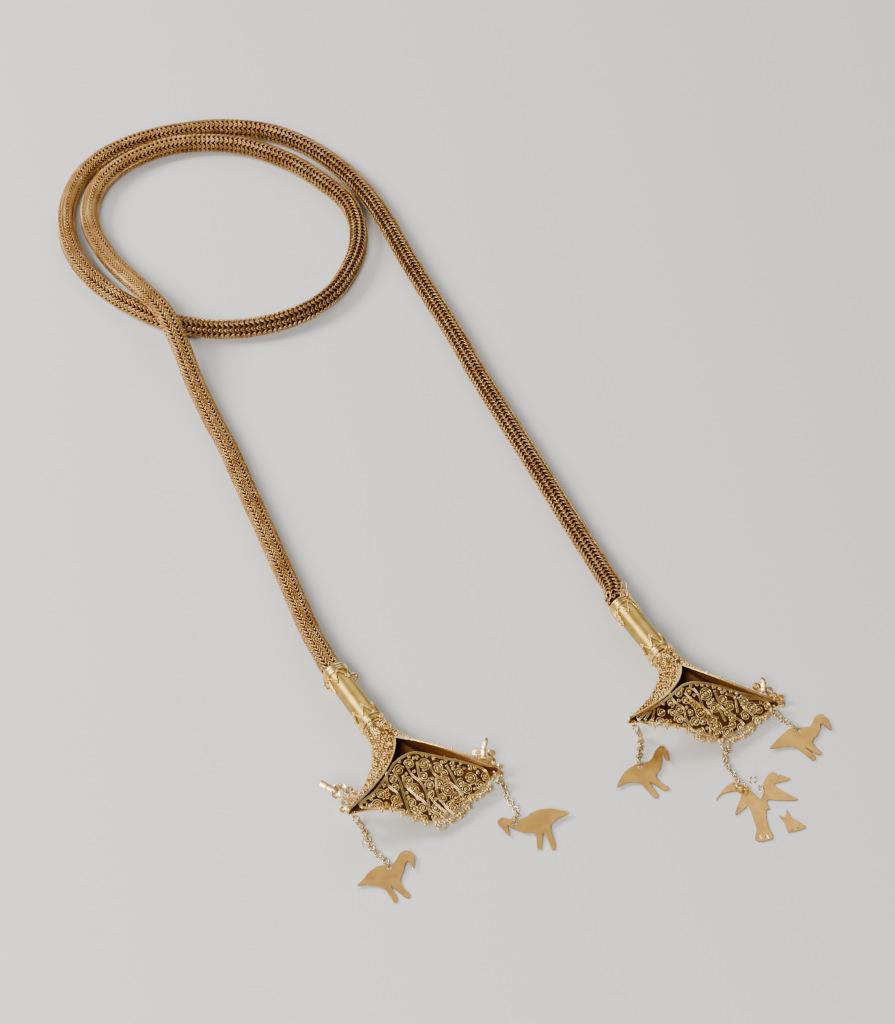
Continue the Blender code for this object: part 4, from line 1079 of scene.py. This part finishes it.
for side, frame_matrix in TERMINAL_FRAMES.items():
    climb, lean = PANEL_PLANES[side][1:]
    normal = Vector((-lean, -climb, 1)).normalized()
    across = Vector((1, 0, lean)).normalized()
    up = normal.cross(across)
    outline = [in_panel(side, x * MM, y * MM) for x, y in PANEL_OUTLINES[side]]
    border = smooth_line(outline, True, LINE_STEPS)
    outer = [place - normal * FRAME_SINK for place in border]
    inward = [place + normal * FRAME_STAND for place in beside(border + border[:1], FRAME_INSET, normal)[:-1]]
    frames = add_wires("frame", [outer, inward], FRAME_WIRE, 1, True)

    stems = []
    for stem in PANEL_STEMS[side]:
        line = smooth_line([seen_in_panel(side, x, y) for x, y in stem], False, LINE_STEPS)
        for step in (-STEM_ASIDE, STEM_ASIDE):
            stems.append([place + normal * STEM_STAND for place in beside(line, step, normal)])

    scrolls = []
    middles = []
    taken = [(place, STEM_CLEARANCE) for stem in stems for place in stem]
    taken += [(place, FRAME_WIRE) for place in inward]
    for index, (x, y, radius) in enumerate(PANEL_COILS[side]):
        centre = seen_in_panel(side, x, y)
        reach = radius * PIXEL * SCROLL_GROWTH
        scrolls.append(coil(centre, across, up, reach, SCROLL_PITCH, 1 - 2 * (index % 2), index * SCROLL_TURN))
        middles.append((centre + normal * MIDDLE_STAND, MIDDLE_BALL))
        taken.append((centre, reach))
    corners = [(place.x, place.y) for place in inward]
    low_x, high_x = min(x for x, y in corners), max(x for x, y in corners)
    low_y, high_y = min(y for x, y in corners), max(y for x, y in corners)
    for attempt in range(FILLER_TRIES):
        spot = in_panel(side, grain_chance.uniform(low_x, high_x), grain_chance.uniform(low_y, high_y))
        reach = min((spot - other).length - wide for other, wide in taken) - SCROLL_WIRE
        if reach < FILLER_RADII[0] or not encloses(corners, spot):
            continue
        reach = min(reach, FILLER_RADII[1])
        taken.append((spot, reach))
        curl, start = grain_chance.choice((-1, 1)), grain_chance.uniform(*FILLER_STARTS)
        scrolls.append(coil(spot, across, up, reach, SCROLL_PITCH, curl, start))
        if reach > FILLER_WITH_BALL:
            middles.append((spot + normal * MIDDLE_STAND, FILLER_BALL))

    first, last = FREE_CORNERS
    free = evenly(smooth_line(outline[first:last + 1]), STACK_SPACING)
    stacks = []
    for place, following in zip(free, free[1:]):
        along = (following - place).normalized()
        out = normal.cross(along).normalized()
        stacks += three_balls(place.lerp(following, 0.5) + out * STACK_REACH, along, out, STACK_BALL)
    forward = Vector((0, -1, -climb)).normalized()
    heel = in_panel(side, *(place * MM for place in HEEL_EYES[side]))
    loop = circle(heel, X_WAY, forward, HEEL_EYE_RADIUS, HEEL_EYE_STEPS)
    panel = join(side + "_filigree_wires", [
        frames, add_wires("stems", stems, STEM_WIRE), add_wires("scrolls", scrolls, SCROLL_WIRE),
        granules("middles", middles), granules("stacks", stacks, 2),
        add_wires("heel", [loop], EYE_WIRE, 2, True)])
    panel.data.shade_smooth()
    panel.data.transform(frame_matrix)
    finish_piece(panel, [FILIGREE_GOLD])
    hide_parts(side + "_filigree_panel")


# Finials
# A palmette of thick wire coils and granules is soldered behind each tip, with
# a flat bent prong standing up from it, bound with two bands. The right
# trumpet's inner one can't be seen in the photograph and isn't made.
FINIAL_THICKNESS = 0.7 * MM
FINIAL_CREASE = math.radians(50)
FINIAL_BALL = LARGE_GRANULE * 0.8
PRONG_EDGE = 0.1 * MM
PRONG_CREASE = math.radians(40)
BEVEL_STEPS = 2
BEVEL_ANGLE = math.radians(50)
# A coil is rolled from two layers of wire: its turns lie this many wires apart,
# its middle is this wide, and it winds in over a third of its second turn
ROLL_WIRE = 0.3 * MM
ROLL_LAYERS = 2
ROLL_LAYER_DEPTH = ROLL_WIRE * 1.5
ROLL_SPACING = 1.9
ROLL_MIDDLE = 0.7
ROLL_WINDING = 3
ROLL_TURN = 2.1
BAND_WIRE = 0.24 * MM
BAND_REACH = 0.52
BAND_DEPTH = FINIAL_THICKNESS * 0.7
# Each finial's trumpet, the place of its prong's bend in the terminal's own
# frame in millimetres, and the rest as it lies in the photograph, in pixels: the
# prong's middle line with its width, the coils with their radius, the strips
# that join them and the granules
FINIALS = {
    "left_outer_finial": dict(
        side="left", bend=(-24.5, -19.8, -0.6),
        prong=((338, 792, 4.4), (333, 789.6, 5.0), (326.5, 786.2, 6.2), (321.2, 783.2, 6.2),
               (320, 782.6, 5.6)),
        coils=((336.7, 787.2, 3.5), (342.6, 786.8, 3.6), (349.4, 790.2, 3.9), (355.0, 792.6, 3.1),
               (335.9, 794.6, 4.5), (345.3, 801.6, 4.4), (352.0, 799.6, 3.2), (343.0, 809.2, 3.9),
               (350.4, 806.8, 3.0)),
        strips=(((357, 799.4), (349, 796.4), (341, 793.2), (334, 790.4)),
                ((340, 786.4), (343.6, 791), (350, 795.6)),
                ((339.4, 796.6), (343.4, 797), (347.4, 799.4)),
                ((347, 804.4), (350.6, 802.8), (355.4, 802.4))),
        beads=((358, 796.8), (356.4, 801.6), (348.2, 796.8), (356.8, 806))),
    "left_inner_finial": dict(
        side="left", bend=(25.3, -25.6, 3.0),
        prong=((483, 760, 6.4), (483.4, 756, 5.6), (483.4, 749, 5.0), (485.2, 742.6, 5.6), (486.4, 739, 3.6),
               (486.9, 737.2, 1.0)),
        coils=((476.3, 752.9, 4.5), (491.3, 753.3, 4.3), (492.0, 761.2, 4.2), (475.4, 758.8, 3.0),
               (500.3, 766.8, 3.1), (499.5, 774.0, 3.9), (485.6, 760.8, 3.2)),
        strips=(((476, 757.4), (480, 756.4), (483, 759)), ((487.6, 757.4), (490.6, 757.6), (493.6, 757)),
                ((494.4, 764.4), (497.4, 766.4), (500.4, 770.4))),
        beads=((485.5, 758.2), (487.4, 764), (496.4, 768.6), (480.4, 759.4))),
    "right_outer_finial": dict(
        side="right", bend=(24.0, -25.0, 3.1),
        prong=((763.6, 692, 6.2), (763.6, 688, 5.4), (763.4, 682.4, 5.4), (762.8, 679, 5.0),
               (761.8, 676.8, 1.2)),
        coils=((756.0, 686.5, 4.2), (768.8, 690.6, 4.4), (780.8, 697.8, 3.8), (774.2, 695.4, 3.4),
               (781.2, 704.2, 4.2)),
        strips=(((756, 690.4), (760, 691), (764, 693)), ((767, 694.6), (772, 698), (778.6, 701)),
                ((759, 684), (761, 687.4), (763, 689.4))),
        beads=((764.8, 690.6), (761.6, 692.8), (777.2, 700.6))),
}


def rolled(centre, across, up, radius, wire):
    """A wire rolled up tight: a full outer turn, then one that touches it inside."""
    inner = max(radius - wire * ROLL_SPACING, wire * ROLL_MIDDLE)
    line = []
    for step in range(2 * COIL_STEPS + 1):
        turn = 2 * math.pi * step / COIL_STEPS
        winding_in = min(1, max(0, (step - COIL_STEPS) / COIL_STEPS * ROLL_WINDING))
        reach = radius + (inner - radius) * winding_in
        line.append(centre + (across * math.cos(turn) + up * math.sin(turn)) * reach)
    return line


def flat_bar(name, middle, widths, depths, across, edge):
    """A bar of rectangular section along a line, its edges rounded."""
    points = []
    for index, place in enumerate(middle):
        along = (middle[min(index + 1, len(middle) - 1)] - middle[max(index - 1, 0)]).normalized()
        upright = across.cross(along).normalized()
        wide, deep = across * widths[index] / 2, upright * depths[index] / 2
        points += [place - wide - deep, place + wide - deep, place + wide + deep, place - wide + deep]
    faces = [(0, 1, 2, 3), tuple(range(len(points) - 4, len(points)))]
    for index in range(len(middle) - 1):
        for corner in range(4):
            first, second = index * 4 + corner, index * 4 + (corner + 1) % 4
            faces.append((first, second, second + 4, first + 4))
    made = new_mesh(name, points, faces)
    face_outwards(made)
    rounding = made.modifiers.new("edges", "BEVEL")
    rounding.width = edge
    rounding.segments = BEVEL_STEPS
    rounding.limit_method = "ANGLE"
    rounding.angle_limit = BEVEL_ANGLE
    apply_modifiers(made)
    bpy.ops.object.shade_smooth_by_angle(angle=PRONG_CREASE)
    return made


for name, finial in FINIALS.items():
    bend = TERMINAL_FRAMES[finial["side"]] @ (Vector(finial["bend"]) * MM)
    face = (camera.location - bend).normalized()
    middle = [seen_on(x, y, bend, face) for x, y, width in finial["prong"]]
    across = (middle[1] - middle[0]).cross(face).normalized()
    up = face.cross(across)
    widths = [width * PIXEL for x, y, width in finial["prong"]]
    depths = [min(FINIAL_THICKNESS, width) for width in widths]
    bands = [circle(place, across * width * BAND_REACH, face * BAND_DEPTH, 1)
             for place, width in zip(middle[1:3], widths[1:3])]
    wires = []
    for index, (x, y, radius) in enumerate(finial["coils"]):
        start_way = Matrix.Rotation(index * ROLL_TURN, 3, face)
        for layer in range(ROLL_LAYERS):
            centre = seen_on(x, y, bend, face) - face * layer * ROLL_LAYER_DEPTH
            reach = radius * PIXEL - ROLL_WIRE
            wires.append(rolled(centre, start_way @ across, start_way @ up, reach, ROLL_WIRE))
    for strip in finial["strips"]:
        line = smooth_line([seen_on(x, y, bend, face) for x, y in strip])
        for layer in range(ROLL_LAYERS):
            wires.append([place - face * layer * ROLL_LAYER_DEPTH for place in line])
    # No wire goes down into the table
    wires = [[Vector((place.x, place.y, max(place.z, ROLL_WIRE))) for place in line] for line in wires]
    beads = [(seen_on(x, y, bend, face) + face * ROLL_WIRE, FINIAL_BALL) for x, y in finial["beads"]]
    bracket = join(name, [
        flat_bar("prong", middle, widths, depths, across, PRONG_EDGE),
        add_wires("bands", bands, BAND_WIRE, 1, True),
        add_wires("coils", wires, ROLL_WIRE), granules("beads", beads, 2)])
    choose(bracket)
    bpy.ops.object.shade_smooth_by_angle(angle=FINIAL_CREASE)
    finish_piece(bracket, [FILIGREE_GOLD])
    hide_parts(name)


# Cut-out birds
# Cut with a chisel from flat sheet gold, the edges rubbed round and the eye
# punched. Each lies leaning on the ring that passes through its back.
SHEET_THICKNESS = 0.45 * MM
SHEET_CREASE = math.radians(20)
# The rubbed edge from a face to the edge's middle: inset and depth, in millimetres
SHEET_EDGE = ((0.18, 0), (0.05, 0.05), (0, 0.16))
OUTLINE_STEPS = 5
GRIP_HOLE_RADIUS = 0.75 * MM
GRIP_STRIP = 0.9 * MM
RING_RADIUS = 1.05 * MM
LINK_WIRE = 0.24 * MM
PIECE_GAP = 0.3 * MM
EYE_PUNCH = 0.34 * MM
EYE_RIM_WIRE = 0.09 * MM
EYE_RIM_STEPS = 14
EYE_DOT = 0.17 * MM
EYE_DOT_SINK = 0.06 * MM
# Each bird's place in millimetres from the middle of the view; from there its
# hole's centre, the way out past the hole and its outline; and the eye as it
# lies in the photograph, in pixels
BIRDS = {
    "left_outer_bird": (
        (-18.2, -156.5), (1.0, 3.2), (-0.25, 0.97),
        ((-8.5, -3.6), (-6.5, -0.6), (-5.1, 1.6), (-2.5, 3.7), (1.7, 4.6), (2.9, 6.4), (4.3, 9.0),
         (6.1, 9.6), (7.9, 8.7), (8.5, 6.6), (8.1, 2.6), (6.7, 5.4), (5.7, 4.4), (5.2, 1.8), (4.3, -1.3),
         (5.1, -3.6), (7.2, -6.6), (6.1, -7.9), (1.5, -3.6), (3.5, -7.7), (3.4, -9.4), (2.2, -9.3),
         (0.5, -6.1), (-1.1, -4.3), (-5.0, -3.3)),
        (406.6, 855.6)),
    "left_inner_bird": (
        (25.8, -138.1), (-5.6, 2.0), (-0.1, 1.0),
        ((-10.9, 2.4), (-9.3, 4.3), (-5.2, 3.4), (-2.1, 4.6), (0.0, 6.5), (3.7, 7.6), (6.6, 7.6),
         (10.9, 6.0), (7.8, 4.0), (5.5, 1.6), (5.4, -0.3), (6.7, -6.4), (5.4, -7.5), (3.2, -1.5),
         (2.5, -7.0), (1.6, -7.7), (0.9, -6.8), (0.5, -2.0), (-3.0, -1.4), (-6.4, 0.3), (-7.7, 1.0),
         (-7.1, -2.8), (-9.7, 0.3)),
        (503.8, 823.2)),
    "right_inner_bird": (
        (59.8, -115.2), (-0.8, 1.9), (-0.3, 0.95),
        ((-8.3, -6.2), (-6.2, -1.0), (-3.8, 1.6), (-1.4, 3.2), (1.3, 3.7), (3.0, 5.6), (4.0, 8.2),
         (5.7, 10.1), (7.2, 9.3), (8.2, 4.9), (7.4, 4.3), (6.1, 6.7), (5.9, 4.0), (5.2, 0.7), (3.9, -1.7),
         (5.3, -4.1), (7.8, -6.1), (7.0, -7.2), (5.6, -7.1), (1.9, -4.1), (4.3, -9.0), (3.7, -10.2),
         (2.6, -9.8), (0.6, -6.9), (-1.3, -4.7), (-4.9, -4.6)),
        (660.8, 751.2)),
    "right_outer_bird": (
        (109.1, -101.0), (-0.6, 2.7), (-0.55, 0.83),
        ((-9.8, -4.2), (-8.6, -4.9), (-5.1, -4.1), (-1.9, -4.4), (2.5, -8.8), (3.5, -9.3), (4.0, -7.6),
         (1.2, -4.1), (4.5, -6.9), (5.9, -6.7), (5.8, -5.8), (4.1, -3.6), (3.6, -1.5), (5.1, 0.6),
         (6.4, 3.6), (6.9, 5.5), (9.2, 3.0), (9.8, 3.9), (8.5, 8.0), (6.8, 9.4), (4.9, 8.3), (4.0, 6.0),
         (2.6, 4.2), (-2.1, 3.6), (-4.6, 2.2)),
        (821.4, 718.8)),
}
TABLE_UP = Vector((0, 0, 1))

# Sheet gold left matt by scraping, warm tan; its rounded edges are paler and pinker, partly
# rubbed wear and partly a painted highlight where the rounding catches the light
MATT_SHEET = gold("matt sheet gold", "#CC9E4E", "#B88A44", 0.42, 3.5, 0.02)
EDGE_WEAR_AND_HIGHLIGHT = gold("sheet edge wear and painted highlight", "#E8C69A", "#D9A87E", 0.3, 5.0)


def signed_area(loop):
    """The area inside a loop, negative where it runs clockwise."""
    return sum(a.x * b.y - b.x * a.y for a, b in zip(loop, loop[1:] + loop[:1])) / 2


def cut_sheet(name, outline, holes, marks=()):
    """A figure cut from sheet on z = 0 with rounded edges; marks are discs punched up from it."""
    loops = []
    for index, loop in enumerate([outline] + holes):
        loops.append(loop if (signed_area(loop) > 0) == (index == 0) else loop[::-1])
    half = [(inset * MM, height * MM) for inset, height in SHEET_EDGE]
    profile = half + [(inset, SHEET_THICKNESS - height) for inset, height in half[::-1]]
    points, faces, lids = [], [], ([], [])
    for loop in loops:
        inward = beside(loop[-1:] + loop + loop[:1], 1.0, TABLE_UP)[1:-1]
        start = len(points)
        count = len(loop)
        for level, (inset, height) in enumerate(profile):
            points += [corner + (aside - corner) * inset + TABLE_UP * height
                       for corner, aside in zip(loop, inward)]
            if level:
                low, high = start + (level - 1) * count, start + level * count
                faces += [(low + k, low + (k + 1) % count, high + (k + 1) % count, high + k)
                          for k in range(count)]
        lids[0].extend(range(start, start + count))
        lids[1].extend(range(start + (len(profile) - 1) * count, start + len(profile) * count))
    made = new_mesh(name, points, faces)
    for lid in lids:
        chosen = set(lid)
        for vertex in made.data.vertices:
            vertex.select = vertex.index in chosen
        for edge in made.data.edges:
            edge.select = edge.vertices[0] in chosen and edge.vertices[1] in chosen
        for polygon in made.data.polygons:
            polygon.select = False
        choose(made)
        bpy.ops.object.mode_set(mode="EDIT")
        bpy.ops.mesh.fill(use_beauty=True)
        bpy.ops.object.mode_set(mode="OBJECT")
    face_outwards(made)
    bpy.ops.object.shade_smooth_by_angle(angle=SHEET_CREASE)
    # The edge faces take the paler colour: partly wear, partly a painted highlight on the rounding
    for polygon in made.data.polygons:
        polygon.material_index = 1 if polygon.index < len(faces) else 0
    made.data.materials.append(MATT_SHEET)
    made.data.materials.append(EDGE_WEAR_AND_HIGHLIGHT)
    for mark in marks:
        top = mark + TABLE_UP * SHEET_THICKNESS
        ring = circle(top, X_WAY, Y_WAY, EYE_PUNCH, EYE_RIM_STEPS)
        punched = [add_wires("eye_rim", [ring], EYE_RIM_WIRE, 1, True),
                   granules("eye_dot", [(top - TABLE_UP * EYE_DOT_SINK, EYE_DOT)], 2)]
        # The eye's rim and dot take the same paler colour, partly wear and partly painted highlight
        for piece in punched:
            piece.data.materials.append(EDGE_WEAR_AND_HIGHLIGHT)
        made = join(name, [made] + punched)
    return made


def cut_outline(points, x, y):
    """A cut-out's outline at its place on the table, the corners eased a little."""
    corners = [on_table(x + corner_x, y + corner_y) for corner_x, corner_y in points]
    return smooth_line(corners, True, OUTLINE_STEPS)


bird_grips = {}
for name, ((x, y), hole, out, outline, eye) in BIRDS.items():
    high = on_table(x + hole[0], y + hole[1])
    out = Vector((*out, 0)).normalized()
    mark = seen_on(*eye, TABLE_UP * SHEET_THICKNESS, TABLE_UP)
    mark.z = 0
    grip_hole = circle(high, X_WAY, Y_WAY, GRIP_HOLE_RADIUS)
    bird = cut_sheet(name, cut_outline(outline, x, y), [grip_hole], (mark,))
    # It leans up from its lowest edge until the ring fits under the hole
    lowest = min(vertex.co.dot(out) for vertex in bird.data.vertices)
    low = high + out * (lowest - high.dot(out))
    reach = Vector((high.x - low.x, high.y - low.y, 0))
    rise = math.atan2(2 * LINK_WIRE + PIECE_GAP, reach.length)
    lean = Matrix.Rotation(rise, 4, reach.cross(TABLE_UP).normalized())
    bird.data.transform(Matrix.Translation(low) @ lean @ Matrix.Translation(-low))
    drop = min(vertex.co.z for vertex in bird.data.vertices)
    bird.data.transform(Matrix.Translation((0, 0, -drop)))
    finish_piece(bird, [MATT_SHEET, EDGE_WEAR_AND_HIGHLIGHT])
    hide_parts(name)
    grip = high + out * (GRIP_HOLE_RADIUS + GRIP_STRIP / 2) + TABLE_UP * (RING_RADIUS + LINK_WIRE)
    bird_grips[name] = (grip, out)


# Two-headed bird plaque and its torn-off foot
# Cut from the same sheet and pierced with slits. Two rings stand soldered
# between the necks. The foot broke off at the right and lies loose beside it.
PLAQUE_PLACE = (94.1, -128.8)
PLAQUE_OUTLINE = ((-12.4, 2.6), (-12.2, 3.7), (-9.2, 8.3), (-6.5, 9.9), (-4.4, 9.0), (-1.6, 6.0), (0.7, 3.3),
                  (1.9, 5.7), (2.1, 8.9), (3.2, 11.9), (5.0, 13.9), (6.9, 13.1), (10.3, 11.6), (9.9, 10.5),
                  (7.6, 9.7), (5.6, 8.9), (6.9, 7.1), (9.4, 5.1), (12.3, 2.6), (6.5, 2.4), (3.5, 2.6),
                  (2.8, 1.4), (3.5, -1.0), (2.5, -1.5), (2.3, -4.9), (2.7, -8.5), (3.8, -11.8), (2.9, -13.0),
                  (-0.2, -13.9), (-1.6, -13.2), (-1.8, -12.0), (-1.2, -8.5), (-2.0, -4.3), (-2.9, 0.0),
                  (-4.6, -1.4), (-7.0, -3.4), (-6.9, -1.3), (-4.9, 4.3), (-6.0, 5.9), (-7.5, 6.0),
                  (-10.7, 4.8))
PLAQUE_SLITS = (((-6.5, -2.1), (-6.1, -2.3), (-5.5, -0.7), (-5.9, -0.5)),
                ((-0.5, -11.4), (0.1, -12.8), (-0.9, -12.8)),
                ((1.6, -11.2), (2.2, -12.5), (1.1, -12.6)))
PLAQUE_EYES = ((729.7, 785.6), (777.2, 775.8))
PLAQUE_RINGS = ((-3.4, 6.6), (1.3, 6.1))
PLAQUE_RING_HEIGHT = SHEET_THICKNESS + EYE_RADIUS * 0.85
LINK_RING_STEPS = 18
PLAQUE_CHAIN_WAY = (-0.75, 0.66)
FOOT_PLACE = (104.0, -134.5)
FOOT_OUTLINE = ((-1.4, 4.4), (-0.7, 2.6), (0.2, 1.1), (3.9, -2.1), (2.2, -3.6), (-0.2, -4.3), (-1.7, -4.4),
                (-2.4, -1.2), (-3.9, 2.1), (-2.1, 1.7))
FOOT_SLITS = (((-0.3, -3.3), (0.2, -3.6), (-0.7, -3.9)), ((1.4, -2.6), (1.8, -2.9), (1.3, -3.0)))


def cut_slits(slits, x, y):
    """A cut-out's slits at its place on the table."""
    return [[on_table(x + corner_x, y + corner_y) for corner_x, corner_y in slit] for slit in slits]


# Drawn gold wire, pale where the links rub each other
LINK_GOLD = gold("drawn gold wire", "#D2B478", "#EAD6A4", 0.22, 3.0)

eyes = [seen_on(*eye, TABLE_UP * SHEET_THICKNESS, TABLE_UP) for eye in PLAQUE_EYES]
plaque = cut_sheet("two_headed_bird_plaque", cut_outline(PLAQUE_OUTLINE, *PLAQUE_PLACE),
                   cut_slits(PLAQUE_SLITS, *PLAQUE_PLACE), [Vector((eye.x, eye.y, 0)) for eye in eyes])
plaque_way = Vector((*PLAQUE_CHAIN_WAY, 0)).normalized()
ring_middles = [on_table(PLAQUE_PLACE[0] + x, PLAQUE_PLACE[1] + y) + TABLE_UP * PLAQUE_RING_HEIGHT
                for x, y in PLAQUE_RINGS]
plaque_grip = ring_middles[0] + plaque_way * EYE_RADIUS
rings = [circle(centre, plaque_way, TABLE_UP, EYE_RADIUS, LINK_RING_STEPS) for centre in ring_middles]
rings = add_wires("rings", rings, LINK_WIRE, 2, True)
for polygon in rings.data.polygons:
    polygon.material_index = 1
rings.data.materials.append(EDGE_WEAR_AND_HIGHLIGHT)
rings.data.materials.append(LINK_GOLD)
plaque = join("two_headed_bird_plaque", [plaque, rings])
finish_piece(plaque, [MATT_SHEET, EDGE_WEAR_AND_HIGHLIGHT, LINK_GOLD])
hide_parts("two_headed_bird_plaque")

foot = cut_sheet("loose_tail_fragment", cut_outline(FOOT_OUTLINE, *FOOT_PLACE),
                 cut_slits(FOOT_SLITS, *FOOT_PLACE))
finish_piece(foot, [MATT_SHEET, EDGE_WEAR_AND_HIGHLIGHT])
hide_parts("loose_tail_fragment")


# Link chains
# Oval links of drawn wire, each turned across the last, hang from the eyes under
# the trumpets' tips and from the right one's heel and end in a ring at a bird.
LINK_SEED = 11
CHAIN_WIRE = 0.26 * MM
CHAIN_PITCH = 1.62 * MM
CHAIN_HEIGHT = 0.95 * MM
CHAIN_LINE_STEPS = 8
LINK_STEPS = 14
LINK_HALF_WIDTH = 0.84 * MM
LINK_OVERLAP = CHAIN_WIRE * 0.95
# Powers below 1 that square off a link's oval, and the degrees it may be twisted
LINK_SQUARING = (0.7, 0.85)
LINK_TWIST = 14
HANG = Vector((0, -1, -0.3)).normalized()
LEFT_TIP, RIGHT_TIP, HEEL = range(3)
# Each chain's trumpet, where on it the chain starts, the bird where it ends (the
# middle one ends at the plaque) and how it lies between, in the photograph's pixels
LINK_CHAINS = {
    "left_outer_chain": ("left", LEFT_TIP, "left_outer_bird", ((362, 826), (367, 838), (372.5, 850))),
    "left_inner_chain": ("left", RIGHT_TIP, "left_inner_bird",
                         ((503.5, 784), (506.5, 796), (513, 806), (518, 814))),
    "right_inner_chain": ("right", LEFT_TIP, "right_inner_bird", ((640.6, 736), (640.2, 746), (639, 756))),
    "right_outer_chain": ("right", RIGHT_TIP, "right_outer_bird", ((781, 718.5), (786, 722), (792.5, 725))),
    "right_middle_chain": ("right", HEEL, None, ((724.6, 751), (725, 760), (728.5, 768.5), (734.5, 776))),
}
# A spare ring propped against the plaque, and a broken end of wire beside a chain
SPARE_RING = (753, 780)
SPARE_RING_HEIGHT = 2.4 * MM
SPARE_RING_ACROSS = Vector((1, 0, 0.25)).normalized()
SPARE_RING_ALONG = Vector((0, 0.9, 0.35))
STRAY_WIRE = ((361.5, 833), (363.4, 838), (362.6, 843), (363.4, 848))
STRAY_WIRE_HEIGHT = 0.8 * MM
STRAY_WIRE_RADIUS = 0.13 * MM
PLAQUE_END_RADIUS = RING_RADIUS * 1.3


def oval(centre, across, along, half_width, half_length):
    """The middle line of a link, an oval with flattened sides."""
    line = []
    for step in range(LINK_STEPS):
        turn = 2 * math.pi * (step + 0.5) / LINK_STEPS
        wide, far = math.cos(turn), math.sin(turn)
        line.append(centre + across * half_width * math.copysign(abs(wide) ** LINK_SQUARING[0], wide)
                    + along * half_length * math.copysign(abs(far) ** LINK_SQUARING[1], far))
    return line


def laid_on_table(line, wire):
    """A link's middle line, lifted where its wire would dip below the table."""
    lift = max(0.0, wire - min(point.z for point in line))
    return [point + TABLE_UP * lift for point in line]


link_chance = random.Random(LINK_SEED)
for name, (side, place, bird, way_points) in LINK_CHAINS.items():
    frame_matrix = TERMINAL_FRAMES[side]
    turn = frame_matrix.to_3x3()
    if place == HEEL:
        forward = Vector((0, -1, -PANEL_PLANES[side][1])).normalized()
        away = turn @ forward
        aside = (turn @ X_WAY.cross(forward)).normalized()
        heel = in_panel(side, *(spot * MM for spot in HEEL_EYES[side]))
        anchor = frame_matrix @ heel + away * HEEL_EYE_RADIUS
    else:
        away = turn @ HANG
        aside = turn @ X_WAY
        anchor = frame_matrix @ (tip_eye(side, place) + HANG * EYE_RADIUS)
    first_ring = anchor + away * (RING_RADIUS - EYE_WIRE - LINK_WIRE)
    if bird:
        last_ring, last_away = bird_grips[bird]
        last_aside, last_radius = TABLE_UP, RING_RADIUS
    else:
        last_away = plaque_way
        last_aside, last_radius = plaque_way.cross(TABLE_UP), PLAQUE_END_RADIUS
        last_ring = plaque_grip + last_away * (PLAQUE_END_RADIUS - EYE_WIRE - LINK_WIRE)
    rings = [circle(first_ring, aside, away, RING_RADIUS, LINK_RING_STEPS),
             circle(last_ring, last_aside, last_away, last_radius, LINK_RING_STEPS)]
    rings = [laid_on_table(ring, LINK_WIRE) for ring in rings]

    start = first_ring + away * (RING_RADIUS - LINK_WIRE)
    end = last_ring + last_away * (last_radius - LINK_WIRE)
    route = [seen_on(*spot, TABLE_UP * CHAIN_HEIGHT, TABLE_UP) for spot in way_points]
    line = evenly(smooth_line([start] + route + [end], False, CHAIN_LINE_STEPS), CHAIN_PITCH)
    across = aside.cross(away)
    links = []
    for index, (first, second) in enumerate(zip(line, line[1:])):
        along = (second - first).normalized()
        if index:
            across = along.cross(across)
        across = (across - along * across.dot(along)).normalized()
        twist = Matrix.Rotation(math.radians(link_chance.uniform(-LINK_TWIST, LINK_TWIST)), 3, along)
        half_length = (second - first).length / 2 + LINK_OVERLAP
        link = oval((first + second) / 2, twist @ across, along, LINK_HALF_WIDTH, half_length)
        links.append(laid_on_table(link, CHAIN_WIRE))
    parts = [add_wires("rings", rings, LINK_WIRE, 1, True), add_wires("links", links, CHAIN_WIRE, 1, True)]
    if name == "left_outer_chain":
        stray = [seen_on(*spot, TABLE_UP * STRAY_WIRE_HEIGHT, TABLE_UP) for spot in STRAY_WIRE]
        parts.append(add_wires("stray", [smooth_line(stray)], STRAY_WIRE_RADIUS))
    if name == "right_middle_chain":
        spare = circle(seen_on(*SPARE_RING, TABLE_UP * SPARE_RING_HEIGHT, TABLE_UP), SPARE_RING_ACROSS,
                       SPARE_RING_ALONG, RING_RADIUS, LINK_RING_STEPS)
        parts.append(add_wires("spare", [spare], CHAIN_WIRE, 1, True))
    chain = join(name, parts)
    chain.data.shade_smooth()
    finish_piece(chain, [LINK_GOLD])
    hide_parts(name)


low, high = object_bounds()
